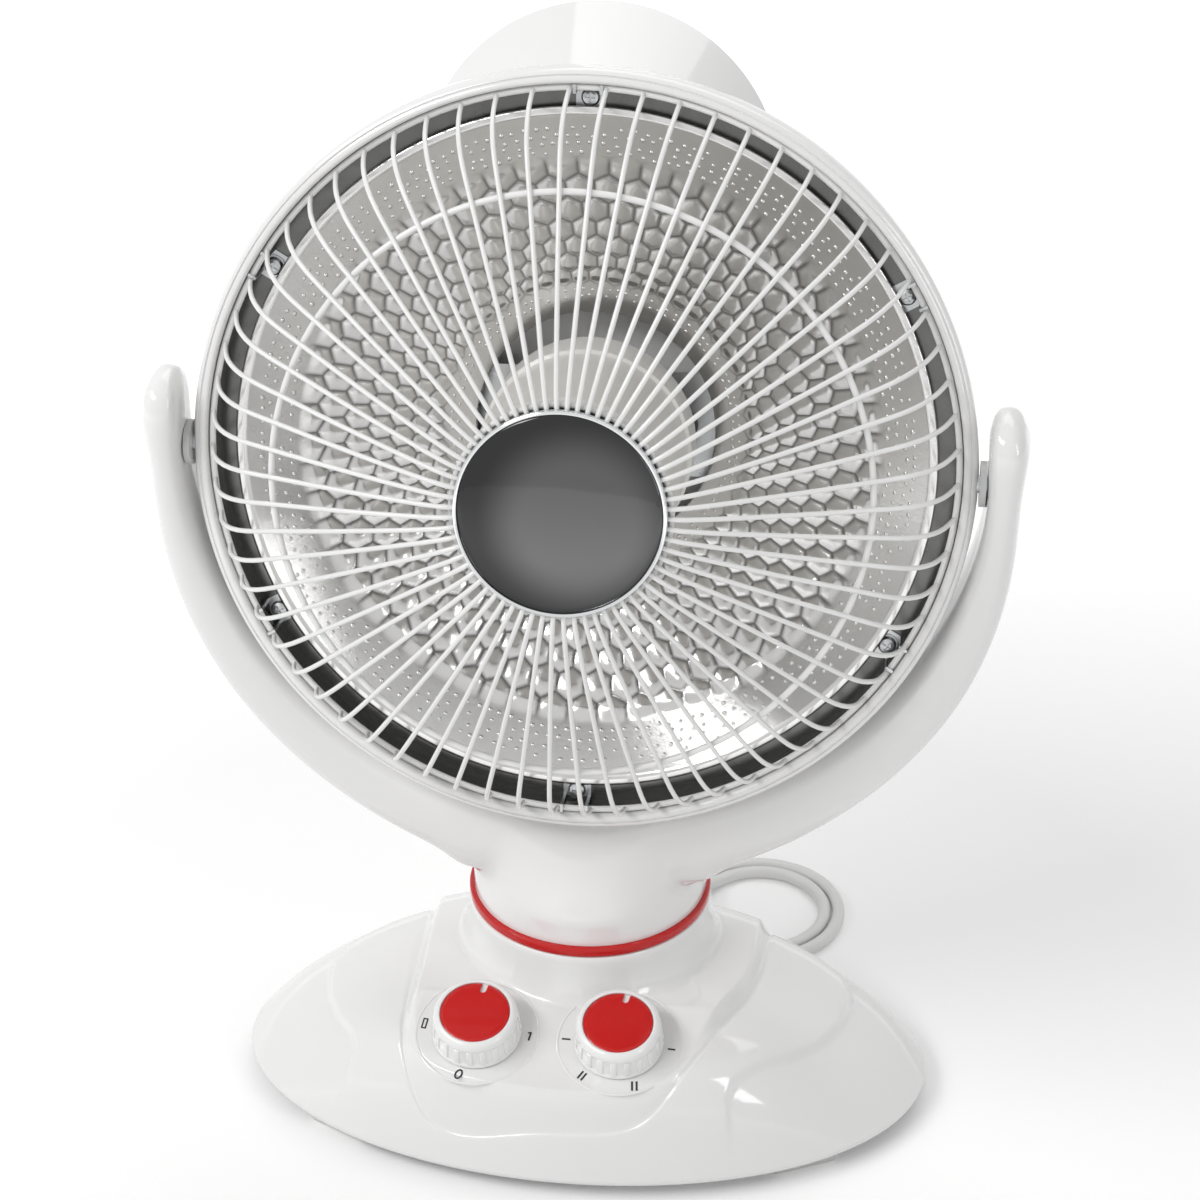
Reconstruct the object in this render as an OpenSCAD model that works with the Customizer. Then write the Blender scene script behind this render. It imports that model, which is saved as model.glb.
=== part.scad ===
// Parabolic heater: a dished reflector in a tilting head, held by a yoke
// that swivels on a domed base with two rotary controls.
// Millimetres, +Z up, front towards -Y. The swivel axis stands on the origin.

/* [Base] */
// Width of the base at its rim
base_w = 302; // [292:1:312]
// Depth of the base at its rim, front to back
base_d = 180; // [174:1:188]
// How far the base's centre stands in front of the swivel axis
base_forward = 16; // [12:1:20]
// Height of the rim's widest line above the floor
rim_z = 10.5; // [10:0.5:12]
// Height of the dome above the rim
dome_h = 50.5; // [46:0.5:56]
// Wall of the moulded shells
wall = 2.6; // [2:0.1:3]
// Height of the rubber feet
foot_h = 6; // [4:0.5:6.5]
// Length of a rubber foot
foot_l = 26; // [20:1:32]
// Width of a rubber foot
foot_w = 15; // [12:1:18]

/* [Control panel] */
// Height of the flat plateau round the collar
plateau_z = 66; // [64:0.5:68]
// Slope of the control panel, down to the front
panel_slope = 18; // [14:1:22]
// Distance of the panel's upper bend in front of the swivel axis
panel_bend_y = 54; // [53:0.5:57]
// Distance of the knobs in front of the swivel axis
knob_y = 73; // [72:0.5:75]
// Distance between the two knobs
knob_pitch = 60.5; // [58:0.5:68]
// How far the pair of knobs sits to the left of the middle
knob_shift = 9.25; // [4:0.25:10]
// Diameter of a knob's skirt
knob_d = 38; // [34:1:40]
// Height of a knob
knob_h = 15; // [13:1:18]
// Diameter of the red cap
cap_d = 29.4; // [24:0.2:31]
// Diameter of a switch shaft
shaft_d = 6; // [5:0.5:8]
// Angle that a knob turns each way
knob_turn = 135; // [90:5:150]

/* [Neck and yoke] */
// Radius of the neck
neck_r = 51; // [50:0.5:52]
// Height of the neck's lower edge
neck_z = 91.2; // [89:0.2:94]
// Height of the red accent ring
accent_h = 4; // [3:0.5:5]
// How far the accent ring stands out from the neck
accent_out = 1.8; // [1.5:0.1:2.5]
// Radius of the swivel hub's tube
hub_tube_r = 22; // [18:0.5:24]
// Radius of the cable way through the hub
cable_way_r = 10; // [7:0.5:12]
// Radial running clearance of the swivel tube and the pivot studs
running = 0.05; // [0.03:0.01:0.08]
// Height of the yoke's inner curve above the neck's lower edge
yoke_foot_h = 58.9; // [57:0.1:62]
// How far the tilt axis stands in front of the swivel axis
pivot_forward = 25.3; // [22:0.1:28]
// Gap between the bezel and the yoke
yoke_gap = 3.5; // [3:0.1:5]
// Thickness of an arm at the tilt axis
arm_t = 13.5; // [12:0.5:16]
// Half the depth of an arm at its tip
arm_half = 17; // [15:0.5:19]
// Half the depth of the yoke at its foot
foot_half = 33; // [30:0.5:36]
// Angle of the arm tips above the tilt axis
tip_angle = 11.4; // [9:0.1:13]
// Radius of a pivot stud
stud_r = 3.5; // [3:0.1:3.6]

/* [Head] */
// Backward tilt of the head at rest
head_tilt = 10.4; // [8:0.2:12]
// Outer radius of the bezel
bezel_r = 155; // [145:0.5:165]
// Width of the bezel's band
bezel_w = 5.8; // [5:0.1:6.4]
// Width of the channel between the reflector's edge and the bezel
channel_w = 12.7; // [12.2:0.1:14]
// Gap between the ceramic drum and the reflector's central hole
hole_gap = 8; // [6:0.5:10]
// Depth of the reflector from edge to hole
reflector_depth = 44; // [38:1:46]
// Depth of the reflector's edge behind the tilt axis
reflector_back = 4.3; // [3:0.1:5]
// Thickness of the reflector
sheet_t = 0.8; // [0.6:0.1:1.2]
// Depth of the housing bowl behind the tilt axis
bowl_depth = 72; // [70:1:76]
// Radius of the rear hood
hood_r = 72; // [68:1:73]
// How far the hood's centre lies inside the bezel's edge
hood_in = 53; // [50:1:57]
// Depth of the hood's centre behind the tilt axis
hood_back = 37.4; // [34:0.2:40]

/* [Guard] */
// Number of radial wires
wire_count = 66; // [48:6:72]
// Diameter of a radial wire
wire_d = 2; // [1.6:0.1:2.2]
// Diameter of the ring wires
ring_wire_d = 2.6; // [2:0.1:2.8]
// Distance of the guard's middle ring inside its outer ring
middle_ring_in = 32.2; // [28:0.2:38]
// Radius of the badge
badge_r = 40.4; // [37:0.2:43]
// Number of screws that hold the guard
guard_screws_n = 6; // [4:1:8]

/* [Heating element] */
// Outer radius of the ceramic drum
drum_r = 41; // [38:0.5:42]
// Turns of the heating coil
coil_turns = 8; // [6:1:10]

/* [Mains cord] */
// Diameter of the cord
cord_d = 6; // [5.6:0.1:6.2]

/* [Hidden] */

$fn = 96;
WHITE = [0.93, 0.93, 0.92];
RED = [0.85, 0.05, 0.05];
STEEL = [0.72, 0.73, 0.74];
DARK = [0.2, 0.2, 0.21];
gap = 0.3;

// Radii and heights that follow the bezel, the neck and the drum.
bezel_in_r = bezel_r - bezel_w;
reflector_r = bezel_in_r - channel_w;
reflector_hole_r = drum_r + hole_gap;
guard_r = bezel_in_r - 1.6;
middle_ring_r = guard_r - middle_ring_in;
guard_screw_r = guard_r - 5;
hood_up = bezel_r - hood_in;
accent_r = neck_r + accent_out;
yoke_inner_r = bezel_r + yoke_gap;
pivot_z = neck_z + yoke_foot_h + yoke_inner_r;

// ---------- closed surfaces from rings of points ----------

// Triangles between consecutive rings of m points; loops joins the last
// ring to the first, otherwise both ends get a flat cap.
function skin_faces(n, m, loops = false) = concat(
    [for (s = [0 : n - (loops ? 1 : 2)], i = [0 : m - 1])
        each let (a = s * m + i, b = s * m + (i + 1) % m,
            t = ((s + 1) % n) * m)
            [[a, b, t + i], [b, t + (i + 1) % m, t + i]]],
    loops ? [] : [for (i = [1 : m - 2]) [0, i + 1, i]],
    loops ? [] : [for (i = [1 : m - 2])
        [(n - 1) * m, (n - 1) * m + i, (n - 1) * m + i + 1]]);

module skin(rings, loops = false, turned = false) {
    flat = [for (r = rings) each r];
    made = skin_faces(len(rings), len(rings[0]), loops);
    faces = turned ? [for (f = made) [f[0], f[2], f[1]]] : made;
    polyhedron(points = flat, faces = faces, convexity = 8);
}

function unit(v) = v / norm(v);
function smooth(t) = let (c = max(0, min(1, t))) c * c * (3 - 2 * c);
function mix(a, b, t) = a + (b - a) * t;

// Rings of a round tube of radius r along a path, each square to it and
// turned so that its first point keeps as near to straight up as it can.
function tube_rings(path, r, sides) = [for (i = [0 : len(path) - 1])
    let (ahead = path[min(i + 1, len(path) - 1)],
        behind = path[max(i - 1, 0)],
        along = unit(ahead - behind),
        across = unit(cross(along, abs(along.z) > 0.9 ? [0, 1, 0] : [0, 0, 1])),
        up = cross(across, along))
        [for (k = [0 : sides - 1])
            path[i] + r * (cos(360 * k / sides) * across + sin(360 * k / sides) * up)]];

module tube(path, r, sides) {
    skin(tube_rings(path, r, sides));
}

// ---------- base ----------

half_w = base_w / 2;
half_d = base_d / 2;
lip_z = foot_h + 0.5;
dome_bulge = 14;
panel_edge = 5;
panel_step = 9;
collar_top = neck_z - accent_h - gap;
collar_top_t = 4;
bore_r = hub_tube_r + running;
front_rim_y = half_d + base_forward;
corner_blend = 3;
// The outline's front follows the rim; its sides run back to the collar.
panel_outline = [[-72, 28 - front_rim_y], [-64, 13 - front_rim_y], [-45, 5.5 - front_rim_y],
    [-10, 2.5 - front_rim_y], [22, 3.5 - front_rim_y], [40, 8.5 - front_rim_y],
    [51, 20 - front_rim_y], [78, -20], [78, 60], [-76, 60]];

// Distance inside the line from a to b, positive to its left.
function side_of(p, a, b) = cross(b - a, p - a) / norm(b - a);

// Distance inside the panel's outline; the blend rounds off its corners.
function panel_inside(p) = let (
    n = len(panel_outline),
    d = [for (i = [0 : n - 1]) side_of(p, panel_outline[i], panel_outline[(i + 1) % n])],
    nearest = min(d),
    near = [for (v = d) exp((nearest - v) / corner_blend)])
    nearest - corner_blend * ln(near * [for (v = d) 1]);

// Height of the sloping front plane that carries the knobs.
function panel_z(y) = min(plateau_z,
    plateau_z + (y + panel_bend_y) * tan(panel_slope));

// The panel runs back from the front plane as a low step on the dome.
function panel_top(p, dome) = mix(panel_z(p.y), min(plateau_z, dome + panel_step),
    smooth((p.y + panel_bend_y) / 25));

// The dome bulges more towards the front.
function dome_power(p) = let (v = [p.x / half_w, (p.y + base_forward) / half_d])
    3.5 + dome_bulge * pow(max(0, -v.y / max(0.01, norm(v))), 4);
function dome_z(p, inset) = let (
    r = norm([p.x / (half_w - inset), (p.y + base_forward) / (half_d - inset)]))
    rim_z + dome_h * (1 - pow(min(1, r), dome_power(p)));

// Height of the base's skin; the inner skin is inset and lowered by the wall.
function base_skin_z(p, inset) = let (
    d = dome_z(p, inset),
    w = smooth((panel_inside(p) - inset) / panel_edge))
    mix(d, panel_top(p, d), w) - inset;

// Shares of the way from the collar's foot to the rim at which the rings of
// the skin lie: some follow the panel's edge, so that its bevel comes out even.
foot_circle_r = accent_r - 5.5;
function base_xy(a, inset, share) = mix(foot_circle_r * [cos(a), sin(a)],
    [(half_w - inset) * cos(a), (half_d - inset) * sin(a) - base_forward], share);
function edge_share(a, inset, depth, low, high, n) = n == 0 ? (low + high) / 2 :
    let (mid = (low + high) / 2)
    panel_inside(base_xy(a, inset, mid)) - inset > depth
        ? edge_share(a, inset, depth, mid, high, n - 1)
        : edge_share(a, inset, depth, low, mid, n - 1);
outer_shares = [1, 0.97, 0.91, 0.8, 0.65, 0.45, 0.22];
edge_depths = [0, 0.3, 0.65, 1];
// One ring follows the panel's upper bend, where the bend is inside the edge.
function bend_share(a, inset, edge) = let (
    from = base_xy(a, inset, 0).y,
    to = base_xy(a, inset, 1).y,
    u = to > from - 1 ? 9 : (-panel_bend_y - from) / (to - from) / edge)
    u < 0.85 ? max(0.1, u) : mix(0.85, 0.5, smooth(2 * (u - 0.85)));
function base_shares(a, inset) = let (
    edges = [for (d = edge_depths) edge_share(a, inset, d * panel_edge, 0, 1, 12)],
    last = edges[len(edges) - 1],
    bend = bend_share(a, inset, last))
    concat([for (s = outer_shares) mix(edges[0], 1, s)], edges,
        [for (s = [(1 + bend) / 2, bend, bend / 2, 0]) s * last]);

base_angles = [for (k = [0 : 71]) 5 * k];
function base_path(a, inset) = [for (s = base_shares(a, inset))
    let (p = base_xy(a, inset, s)) [p.x, p.y, base_skin_z(p, inset)]];
function lip_point(a, inset, z) = [(half_w - 3 - inset) * cos(a),
    (half_d - 3 - inset) * sin(a) - base_forward, z];
function reversed(v) = [for (i = [len(v) - 1 : -1 : 0]) v[i]];

// The filled form of the base from height z up, inset by a wall.
module base_form(inset, z) {
    paths = [for (a = base_angles) concat([lip_point(a, inset, z)], base_path(a, inset))];
    skin([for (j = [0 : len(paths[0]) - 1]) [for (path = paths) path[j]]], turned = true);
}

// Where the panel's own frame lies: its origin on the panel, +Z out of it.
module on_panel(x) {
    translate([x, -knob_y, panel_z(-knob_y)]) rotate([panel_slope, 0, 0]) children();
}
left_x = -knob_pitch / 2 - knob_shift;
right_x = knob_pitch / 2 - knob_shift;

gland_x = 35;
gland_z = 15;
gland_bore_r = 5;
rear_y = half_d - base_forward;

// The collar stands on the dome as a low drum with a flared step.
collar_low_z = 30;
drum_foot_r = accent_r + 5;
module collar_form() {
    rotate_extrude() polygon([
        [0, collar_low_z], [drum_foot_r, collar_low_z], [drum_foot_r, plateau_z - 0.6],
        [accent_r + 3, plateau_z + 2.2], [accent_r + 0.8, plateau_z + 6],
        [accent_r, collar_top - 1], [accent_r - 1, collar_top], [0, collar_top]]);
}
module collar_hollow() {
    rotate_extrude() polygon([
        [0, collar_low_z - 10], [drum_foot_r - wall, collar_low_z - 10],
        [drum_foot_r - wall, plateau_z - 3], [accent_r - wall, plateau_z + 4],
        [accent_r - wall, collar_top - collar_top_t], [0, collar_top - collar_top_t]]);
}

// Spots in the base, as shares of its half width and half depth.
function base_spot(u, v) = [u * half_w, v * half_d - base_forward];
post_spots = [base_spot(-0.742, -0.136), base_spot(0.742, -0.136),
    base_spot(-0.517, 0.68), base_spot(0.517, 0.68)];
screw_l = 12;
screw_r = 1.6;
screw_head_r = 3.2;
plate_t = 2;
plate_z = lip_z + 0.3;
plate_top = plate_z + plate_t;
bearing_low_z = collar_top - collar_top_t - 4;

module base_shell() color(WHITE) {
    difference() {
        union() {
            difference() {
                union() {
                    base_form(0, lip_z);
                    collar_form();
                }
                base_form(wall, lip_z - 1);
                collar_hollow();
            }
            intersection() {
                for (p = post_spots)
                    translate([p.x, p.y, plate_top]) cylinder(r = 4, h = 60, $fn = 32);
                base_form(wall / 2, lip_z);
            }
            translate([0, 0, bearing_low_z])
                cylinder(r = bore_r + 3, h = collar_top - bearing_low_z - 1);
        }
        translate([0, 0, bearing_low_z - 1]) cylinder(r = bore_r, h = 20);
        for (x = [left_x, right_x])
            on_panel(x) cylinder(r = shaft_d / 2 + 1, h = 30, center = true, $fn = 32);
        for (p = post_spots)
            translate([p.x, p.y, plate_top - 1]) cylinder(r = screw_r, h = screw_l + 2, $fn = 32);
        translate([gland_x, rear_y - 30, gland_z]) rotate([-90, 0, 0])
            cylinder(r = gland_bore_r + 0.05, h = 40, $fn = 48);
    }
}

module rim_outline(inset) {
    polygon([for (a = [0 : 5 : 355]) [(half_w - inset) * cos(a),
        (half_d - inset) * sin(a) - base_forward]]);
}

module base_plate() color(DARK) {
    difference() {
        translate([0, 0, plate_z]) linear_extrude(plate_t) rim_outline(wall + 3.6);
        for (p = post_spots)
            translate([p.x, p.y, 0]) cylinder(r = screw_r + 0.2, h = 20, $fn = 32);
    }
}

foot_turn = 26;
module at_feet() {
    for (side = [-1, 1]) {
        translate(base_spot(side * 0.648, -0.56)) rotate(side * foot_turn) children();
        translate(base_spot(side * 0.689, 0.409)) rotate(-side * foot_turn) children();
    }
}

module feet() color([0.85, 0.85, 0.84]) {
    linear_extrude(plate_z) at_feet() square([foot_l, foot_w], center = true);
}

module base_screws() color(STEEL) {
    for (p = post_spots) translate([p.x, p.y, 0]) {
        translate([0, 0, plate_z - 1.9]) cylinder(r = screw_head_r, h = 1.9, $fn = 32);
        translate([0, 0, plate_z - 1]) cylinder(r = screw_r, h = screw_l, $fn = 32);
    }
}

ballast_t = 8;
ballast_l = 0.99 * half_w;
ballast_w = 50;
ballast_y = 16;
module ballast() color(STEEL) {
    translate([0, ballast_y, plate_top]) linear_extrude(ballast_t)
        square([ballast_l, ballast_w], center = true);
}

module tip_switch() color([0.12, 0.12, 0.12]) {
    translate([post_spots[0].x + 42, post_spots[0].y, plate_top]) {
        linear_extrude(18) square([26, 14], center = true);
        cylinder(r = 5, h = 22, $fn = 32);
    }
}

switch_body_h = 17;
module rotary_switch(x) {
    on_panel(x) {
        translate([0, 0, -wall * cos(panel_slope) - 0.02 - switch_body_h])
            linear_extrude(switch_body_h) square([24, 22], center = true);
        translate([0, 0, -wall - 1])
            cylinder(r = shaft_d / 2, h = wall + 14, $fn = 32);
    }
}
module left_switch() color(DARK) rotary_switch(left_x);
module right_switch() color(DARK) rotary_switch(right_x);

// The crank's axis stands in front of the swivel axis and its pin reaches
// forward into the arm's slot. A quarter turn of the crank swings the head
// fully, since atan(crank_pin_at / crank_forward) is the swing each way.
swing = 30;
crank_forward = knob_y - 41;
crank_pin_at = crank_forward * tan(swing);
crank_pin_r = 2.5;
crank_z = 54;
crank_t = 3;
motor_z = 23.5;
motor_h = 21;
motor_r = 24;
motor_shaft_r = 3;

module swing_motor() color([0.75, 0.74, 0.7]) {
    translate([0, -crank_forward, 0]) {
        translate([0, 0, motor_z]) cylinder(r = motor_r, h = motor_h, $fn = 64);
        cylinder_z = motor_z + motor_h - 0.5;
        translate([0, 0, cylinder_z])
            cylinder(r = motor_shaft_r, h = crank_z + crank_t - cylinder_z, $fn = 32);
        for (x = [-19, 19]) translate([x, 0, plate_top])
            cylinder(r = 3.5, h = motor_z - plate_top + 1, $fn = 32);
    }
}

module swing_crank() color(WHITE) {
    translate([0, -crank_forward, crank_z]) difference() {
        union() {
            cylinder(r = crank_pin_at + 4, h = crank_t, $fn = 64);
            translate([0, -crank_pin_at, 1]) cylinder(r = crank_pin_r, h = 7.4, $fn = 32);
        }
        translate([0, 0, -1]) cylinder(r = motor_shaft_r + running, h = 10, $fn = 32);
    }
}

thrust_t = 0.3;
module thrust_washer() color([0.9, 0.88, 0.8]) {
    translate([0, 0, collar_top]) difference() {
        cylinder(r = hub_tube_r + 9, h = thrust_t);
        translate([0, 0, -1]) cylinder(r = hub_tube_r + 0.4, h = 3);
    }
}

// ---------- cord ----------

cord_r = cord_d / 2;
gland_out = 24;
// The gland's inner flange clears the base plate below it.
gland_flange_r = min(gland_bore_r + 2.4, gland_z - plate_top - 0.3);
module cord_gland() color(WHITE) {
    translate([gland_x, 0, gland_z]) rotate([-90, 0, 0]) rotate_extrude($fn = 48)
        polygon([[cord_r + 0.05, rear_y - 20], [gland_flange_r, rear_y - 20],
            [gland_flange_r, rear_y - 17], [gland_bore_r, rear_y - 17],
            [gland_bore_r, rear_y + 2], [cord_r + 1.2, rear_y + gland_out],
            [cord_r + 0.05, rear_y + gland_out]]);
}

// The free stretch: out of the gland, over the loop's own first strand down
// to the floor, twice round the loop that shows behind the base, then under
// the gland to the coil. The stops are measured from the base's rear edge.
cord_route = [for (p = [
    [35, -8, 15], [35, 4, 15], [35, 16, 15], [35, 24, 14.8], [36.4, 32, 12.8],
    [39.5, 39, 9.6], [43, 45, 6], [47, 51.4, 3.6], [54, 58, 3.1], [63.5, 62.2, 3.1],
    [73.8, 62.8, 3.1], [84, 59.6, 3.1], [92.6, 53, 3.1], [98.4, 44, 3.1],
    [100.6, 33.4, 3.1], [99, 22.4, 3.1], [93.6, 12.4, 3.1], [85, 4.6, 3.1],
    [74.4, 0.4, 3.1], [63, 0.2, 3.1], [52, 3.8, 3.1], [42.6, 10.6, 3.1], [36.4, 20, 3.1],
    [33.8, 31, 3.1], [35, 42.4, 3.1], [39.6, 53, 3.1], [47.6, 61.8, 3.1], [58, 67.6, 3.1],
    [70, 69.6, 3.1], [82, 67.6, 3.1], [92.8, 62, 3.1], [101.2, 53.2, 3.1], [106.2, 42, 3.1],
    [107.4, 30, 3.1], [104.8, 18, 3.1], [98.6, 7.2, 3.1], [89.4, -1, 3.1], [78, -5.8, 3.1],
    [65.6, -6.6, 3.1], [53, -3.6, 3.1], [42, 1.4, 3.1], [30, 5.6, 3.2], [18, 7, 3.6],
    [6, 6.8, 4], [-4, 6.6, 4.2], [-11, 6.5, 4.2]])
    p + [0, rear_y, 0]];

module power_cord() color([0.9, 0.9, 0.9]) {
    tube(cord_route, cord_r, 8);
}

// The coil: in two layers, spiralling in on the floor's layer and out again
// on the upper one, which it climbs to in the half turn where it reverses.
coil_c = [-17, rear_y + 48];
coil_loops = 5.25;
coil_outer_r = 41.5;
coil_pitch = cord_d + 0.5;
coil_low_z = 4.2;
plug_tail = 13;
plug_w = 26;
// The straight end is as long as the plug's body needs to clear the loops.
coil_end = sqrt(pow(coil_outer_r + cord_r, 2) - pow(coil_outer_r - plug_w / 2, 2))
    + 1 - plug_tail;
function coil_r(t) = coil_outer_r - coil_pitch * (coil_loops / 2 - abs(t - coil_loops / 2));
function coil_z(t) = coil_low_z + coil_pitch * smooth(2 * (t - coil_loops / 2) + 0.5);
function coil_point(t) = [coil_c.x + coil_r(t) * cos(-90 - 360 * t),
    coil_c.y + coil_r(t) * sin(-90 - 360 * t), coil_z(t)];
coil_steps = 24 * coil_loops;
coil_points = [for (k = [0 : coil_steps]) coil_point(k / 24)];
coil_first = coil_points[0];
coil_last = coil_points[coil_steps];
coil_route = concat([coil_first + [cord_d, 0, 0]], coil_points,
    [coil_last + [0, cord_d, 0], coil_last + [0, coil_end, 0]]);
coil_gap = min([for (i = [0 : coil_steps - 18], j = [i + 18 : coil_steps])
    norm(coil_points[i] - coil_points[j])]) - cord_d;
echo(coil_gap = coil_gap);

module cord_coil() color([0.9, 0.9, 0.9]) {
    tube(coil_route, cord_r, 6);
}

// Two straps hold the coil's loops together.
tie_t = 0.7;
tie_w = 5;
tie_low_z = coil_low_z - cord_r - 0.3 - tie_t;
tie_h = coil_pitch + cord_d + 0.6 + 2 * tie_t;
tie_in = coil_r(coil_loops / 2) - cord_r - 0.8;
tie_out = coil_outer_r + cord_r + 0.8;
module cord_tie() color(DARK) {
    for (a = [95, -35]) translate([coil_c.x, coil_c.y, tie_low_z]) rotate([0, 0, a])
        difference() {
            translate([tie_in, -tie_w / 2, 0]) cube([tie_out - tie_in, tie_w, tie_h]);
            translate([tie_in + tie_t, -tie_w, tie_t])
                cube([tie_out - tie_in - 2 * tie_t, 2 * tie_w, tie_h - 2 * tie_t]);
        }
}

plug_at = coil_last + [0, coil_end, 0];
plug_half = plug_at.z;
plug_l = 30;
plug_corner = 4;
module at_plug() {
    translate(plug_at) rotate([-90, 0, 0]) children();
}
module plug() color([0.9, 0.9, 0.9]) {
    at_plug() {
        rotate_extrude($fn = 48) polygon([[0, 0], [4.4, 0], [5.6, plug_tail + 1], [0, plug_tail + 1]]);
        translate([0, 0, plug_tail]) linear_extrude(plug_l) {
            square([plug_w - 2 * plug_corner, 2 * plug_half], center = true);
            square([plug_w, 2 * plug_half - 2 * plug_corner], center = true);
            for (x = [-1, 1], y = [-1, 1])
                translate([x * (plug_w / 2 - plug_corner), y * (plug_half - plug_corner)])
                    circle(r = plug_corner, $fn = 32);
        }
    }
}
module plug_pins() color(STEEL) {
    at_plug() for (x = [-6.35, 6.35])
        translate([x - 0.75, -3.15, plug_tail + plug_l]) cube([1.5, 6.3, 17]);
}

// ---------- knobs ----------

skirt_ribs = 20;
module knob(x) {
    on_panel(x) {
        rotate_extrude() polygon([[shaft_d / 2 + running, gap + 1], [shaft_d / 2 + 3, gap + 1],
            [shaft_d / 2 + 3, knob_h - 4.4], [knob_d / 2 - 5, knob_h - 4.4],
            [knob_d / 2 - 3, gap], [knob_d / 2, gap],
            [knob_d / 2, 2.2], [knob_d / 2 - 0.9, 2.8],
            [knob_d / 2 - 2.2, knob_h - 2], [knob_d / 2 - 2.6, knob_h - 0.7],
            [knob_d / 2 - 3.4, knob_h], [cap_d / 2 + 0.1, knob_h],
            [cap_d / 2 + 0.1, knob_h - 1.8], [shaft_d / 2 + running, knob_h - 1.8]]);
        for (k = [0 : skirt_ribs - 1]) rotate([0, 0, 360 * (k + 0.5) / skirt_ribs])
            translate([knob_d / 2 - 2.6, -1, 2]) cube([1.9, 2, knob_h - 7]);
    }
}
module left_knob() color(WHITE) knob(left_x);
module right_knob() color(WHITE) knob(right_x);

module cap(x) {
    on_panel(x) translate([0, 0, knob_h - 1.8]) {
        difference() {
            cylinder(r = cap_d / 2, h = 2);
            translate([-1.3, cap_d / 2 - 4, -1]) cube([2.6, 6, 5]);
        }
    }
}
module left_cap() color(RED) cap(left_x);
module right_cap() color(RED) cap(right_x);

// ---------- swivel ----------

hub_disc_r = neck_r - wall - 0.8;
hub_t = 4;
arm_z = crank_z + crank_t + 1.2;
arm_ring_t = 4.8;
hub_screw_at = neck_r - 11;
accent_in_r = accent_r - 7;
hub_low_z = collar_top + thrust_t;
module at_hub_screws() {
    for (a = [50, 130, 230, 310]) rotate([0, 0, a]) translate([hub_screw_at, 0, 0]) children();
}
module swivel_hub() color(WHITE) {
    difference() {
        rotate_extrude() polygon([
            [cable_way_r, arm_z + arm_ring_t], [hub_tube_r, arm_z + arm_ring_t],
            [hub_tube_r, hub_low_z + 0.3], [hub_tube_r + 10, hub_low_z + 0.3],
            [hub_tube_r + 10, hub_low_z], [accent_in_r - running, hub_low_z],
            [accent_in_r - running, neck_z + 0.2], [hub_disc_r, neck_z + 0.2],
            [hub_disc_r, neck_z + hub_t], [cable_way_r, neck_z + hub_t]]);
        at_hub_screws() {
            translate([0, 0, hub_low_z - 1]) cylinder(r = screw_head_r + 0.2, h = 3.2, $fn = 32);
            cylinder(r = screw_r + 0.1, h = 120, $fn = 32);
        }
    }
}

module retaining_ring() color(STEEL) {
    translate([0, 0, bearing_low_z - gap - 2]) difference() {
        cylinder(r = hub_tube_r + 6, h = 2);
        translate([0, 0, -1]) cylinder(r = hub_tube_r + 0.03, h = 4);
    }
}

module hub_screws() color(STEEL) {
    at_hub_screws() {
        translate([0, 0, hub_low_z + 0.3]) cylinder(r = screw_head_r, h = 1.9, $fn = 32);
        translate([0, 0, hub_low_z + 1])
            cylinder(r = screw_r, h = neck_z + hub_t + hub_boss_h - hub_low_z - 2, $fn = 32);
    }
}

module accent_ring() color(RED) {
    translate([0, 0, hub_low_z]) difference() {
        cylinder(r = accent_r, h = neck_z - hub_low_z);
        translate([0, 0, -1]) cylinder(r = accent_in_r, h = accent_h + 2);
    }
}

slot_half = crank_pin_r + 1.5;
slot_near = crank_forward + 1;
slot_far = crank_forward + crank_pin_at + crank_pin_r + 1;
module swing_arm() color(STEEL) {
    difference() {
        union() {
            translate([0, 0, arm_z]) cylinder(r = hub_tube_r, h = arm_ring_t);
            translate([-slot_half - 3, -slot_far - 3, arm_z]) cube([2 * slot_half + 6, slot_far, 3]);
        }
        translate([0, 0, arm_z - 1]) cylinder(r = cable_way_r, h = 10, $fn = 48);
        translate([-slot_half, -slot_far, arm_z - 1]) cube([2 * slot_half, slot_far - slot_near, 8]);
    }
}

// ---------- yoke ----------

// Height over which the neck stays a plain cylinder.
neck_wall_h = 8;
yoke_drop = pivot_z - neck_z;
yoke_lean = atan(pivot_forward / yoke_drop);
// The neck spans this angle each side of straight down, seen from the pivot.
neck_span = atan(neck_r / yoke_drop);
foot_a = 88.1 - neck_span;

// Outer radius of the yoke at a angle below the tilt axis. The yoke thickens
// towards its foot, where a fillet leads its underside into the neck.
foot_swell = 0.5;
foot_lift = 3;
neck_fillet = 5;
function outer_r(a) = yoke_inner_r + arm_t + 4 * exp(-pow((a + 8) / 5, 2))
    + (a > 0 ? let (b = min(a, foot_a)) foot_swell * b * b / (b + 8)
        - foot_lift * smooth((b - 30) / 45) + neck_fillet * exp(-pow((b - foot_a) / 2.2, 2)) : 0);
function half_depth(a) = mix(arm_half, foot_half, smooth((a + 10) / 100));
// The arm shrinks to a round end at its tip.
function tip_share(a) = let (t = min(1, (a + tip_angle) / 5)) sqrt(max(0.004, 1 - pow(1 - t, 2)));

// A point of the yoke from its radius, its angle and its depth in front of
// the yoke's middle plane, which leans forward from the neck to the pivot.
function yoke_point(r, a, depth) = [r * cos(a),
    -pivot_forward + r * sin(a) * sin(yoke_lean) - depth * cos(yoke_lean),
    pivot_z - r * sin(a) * cos(yoke_lean) - depth * sin(yoke_lean)];

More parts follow.
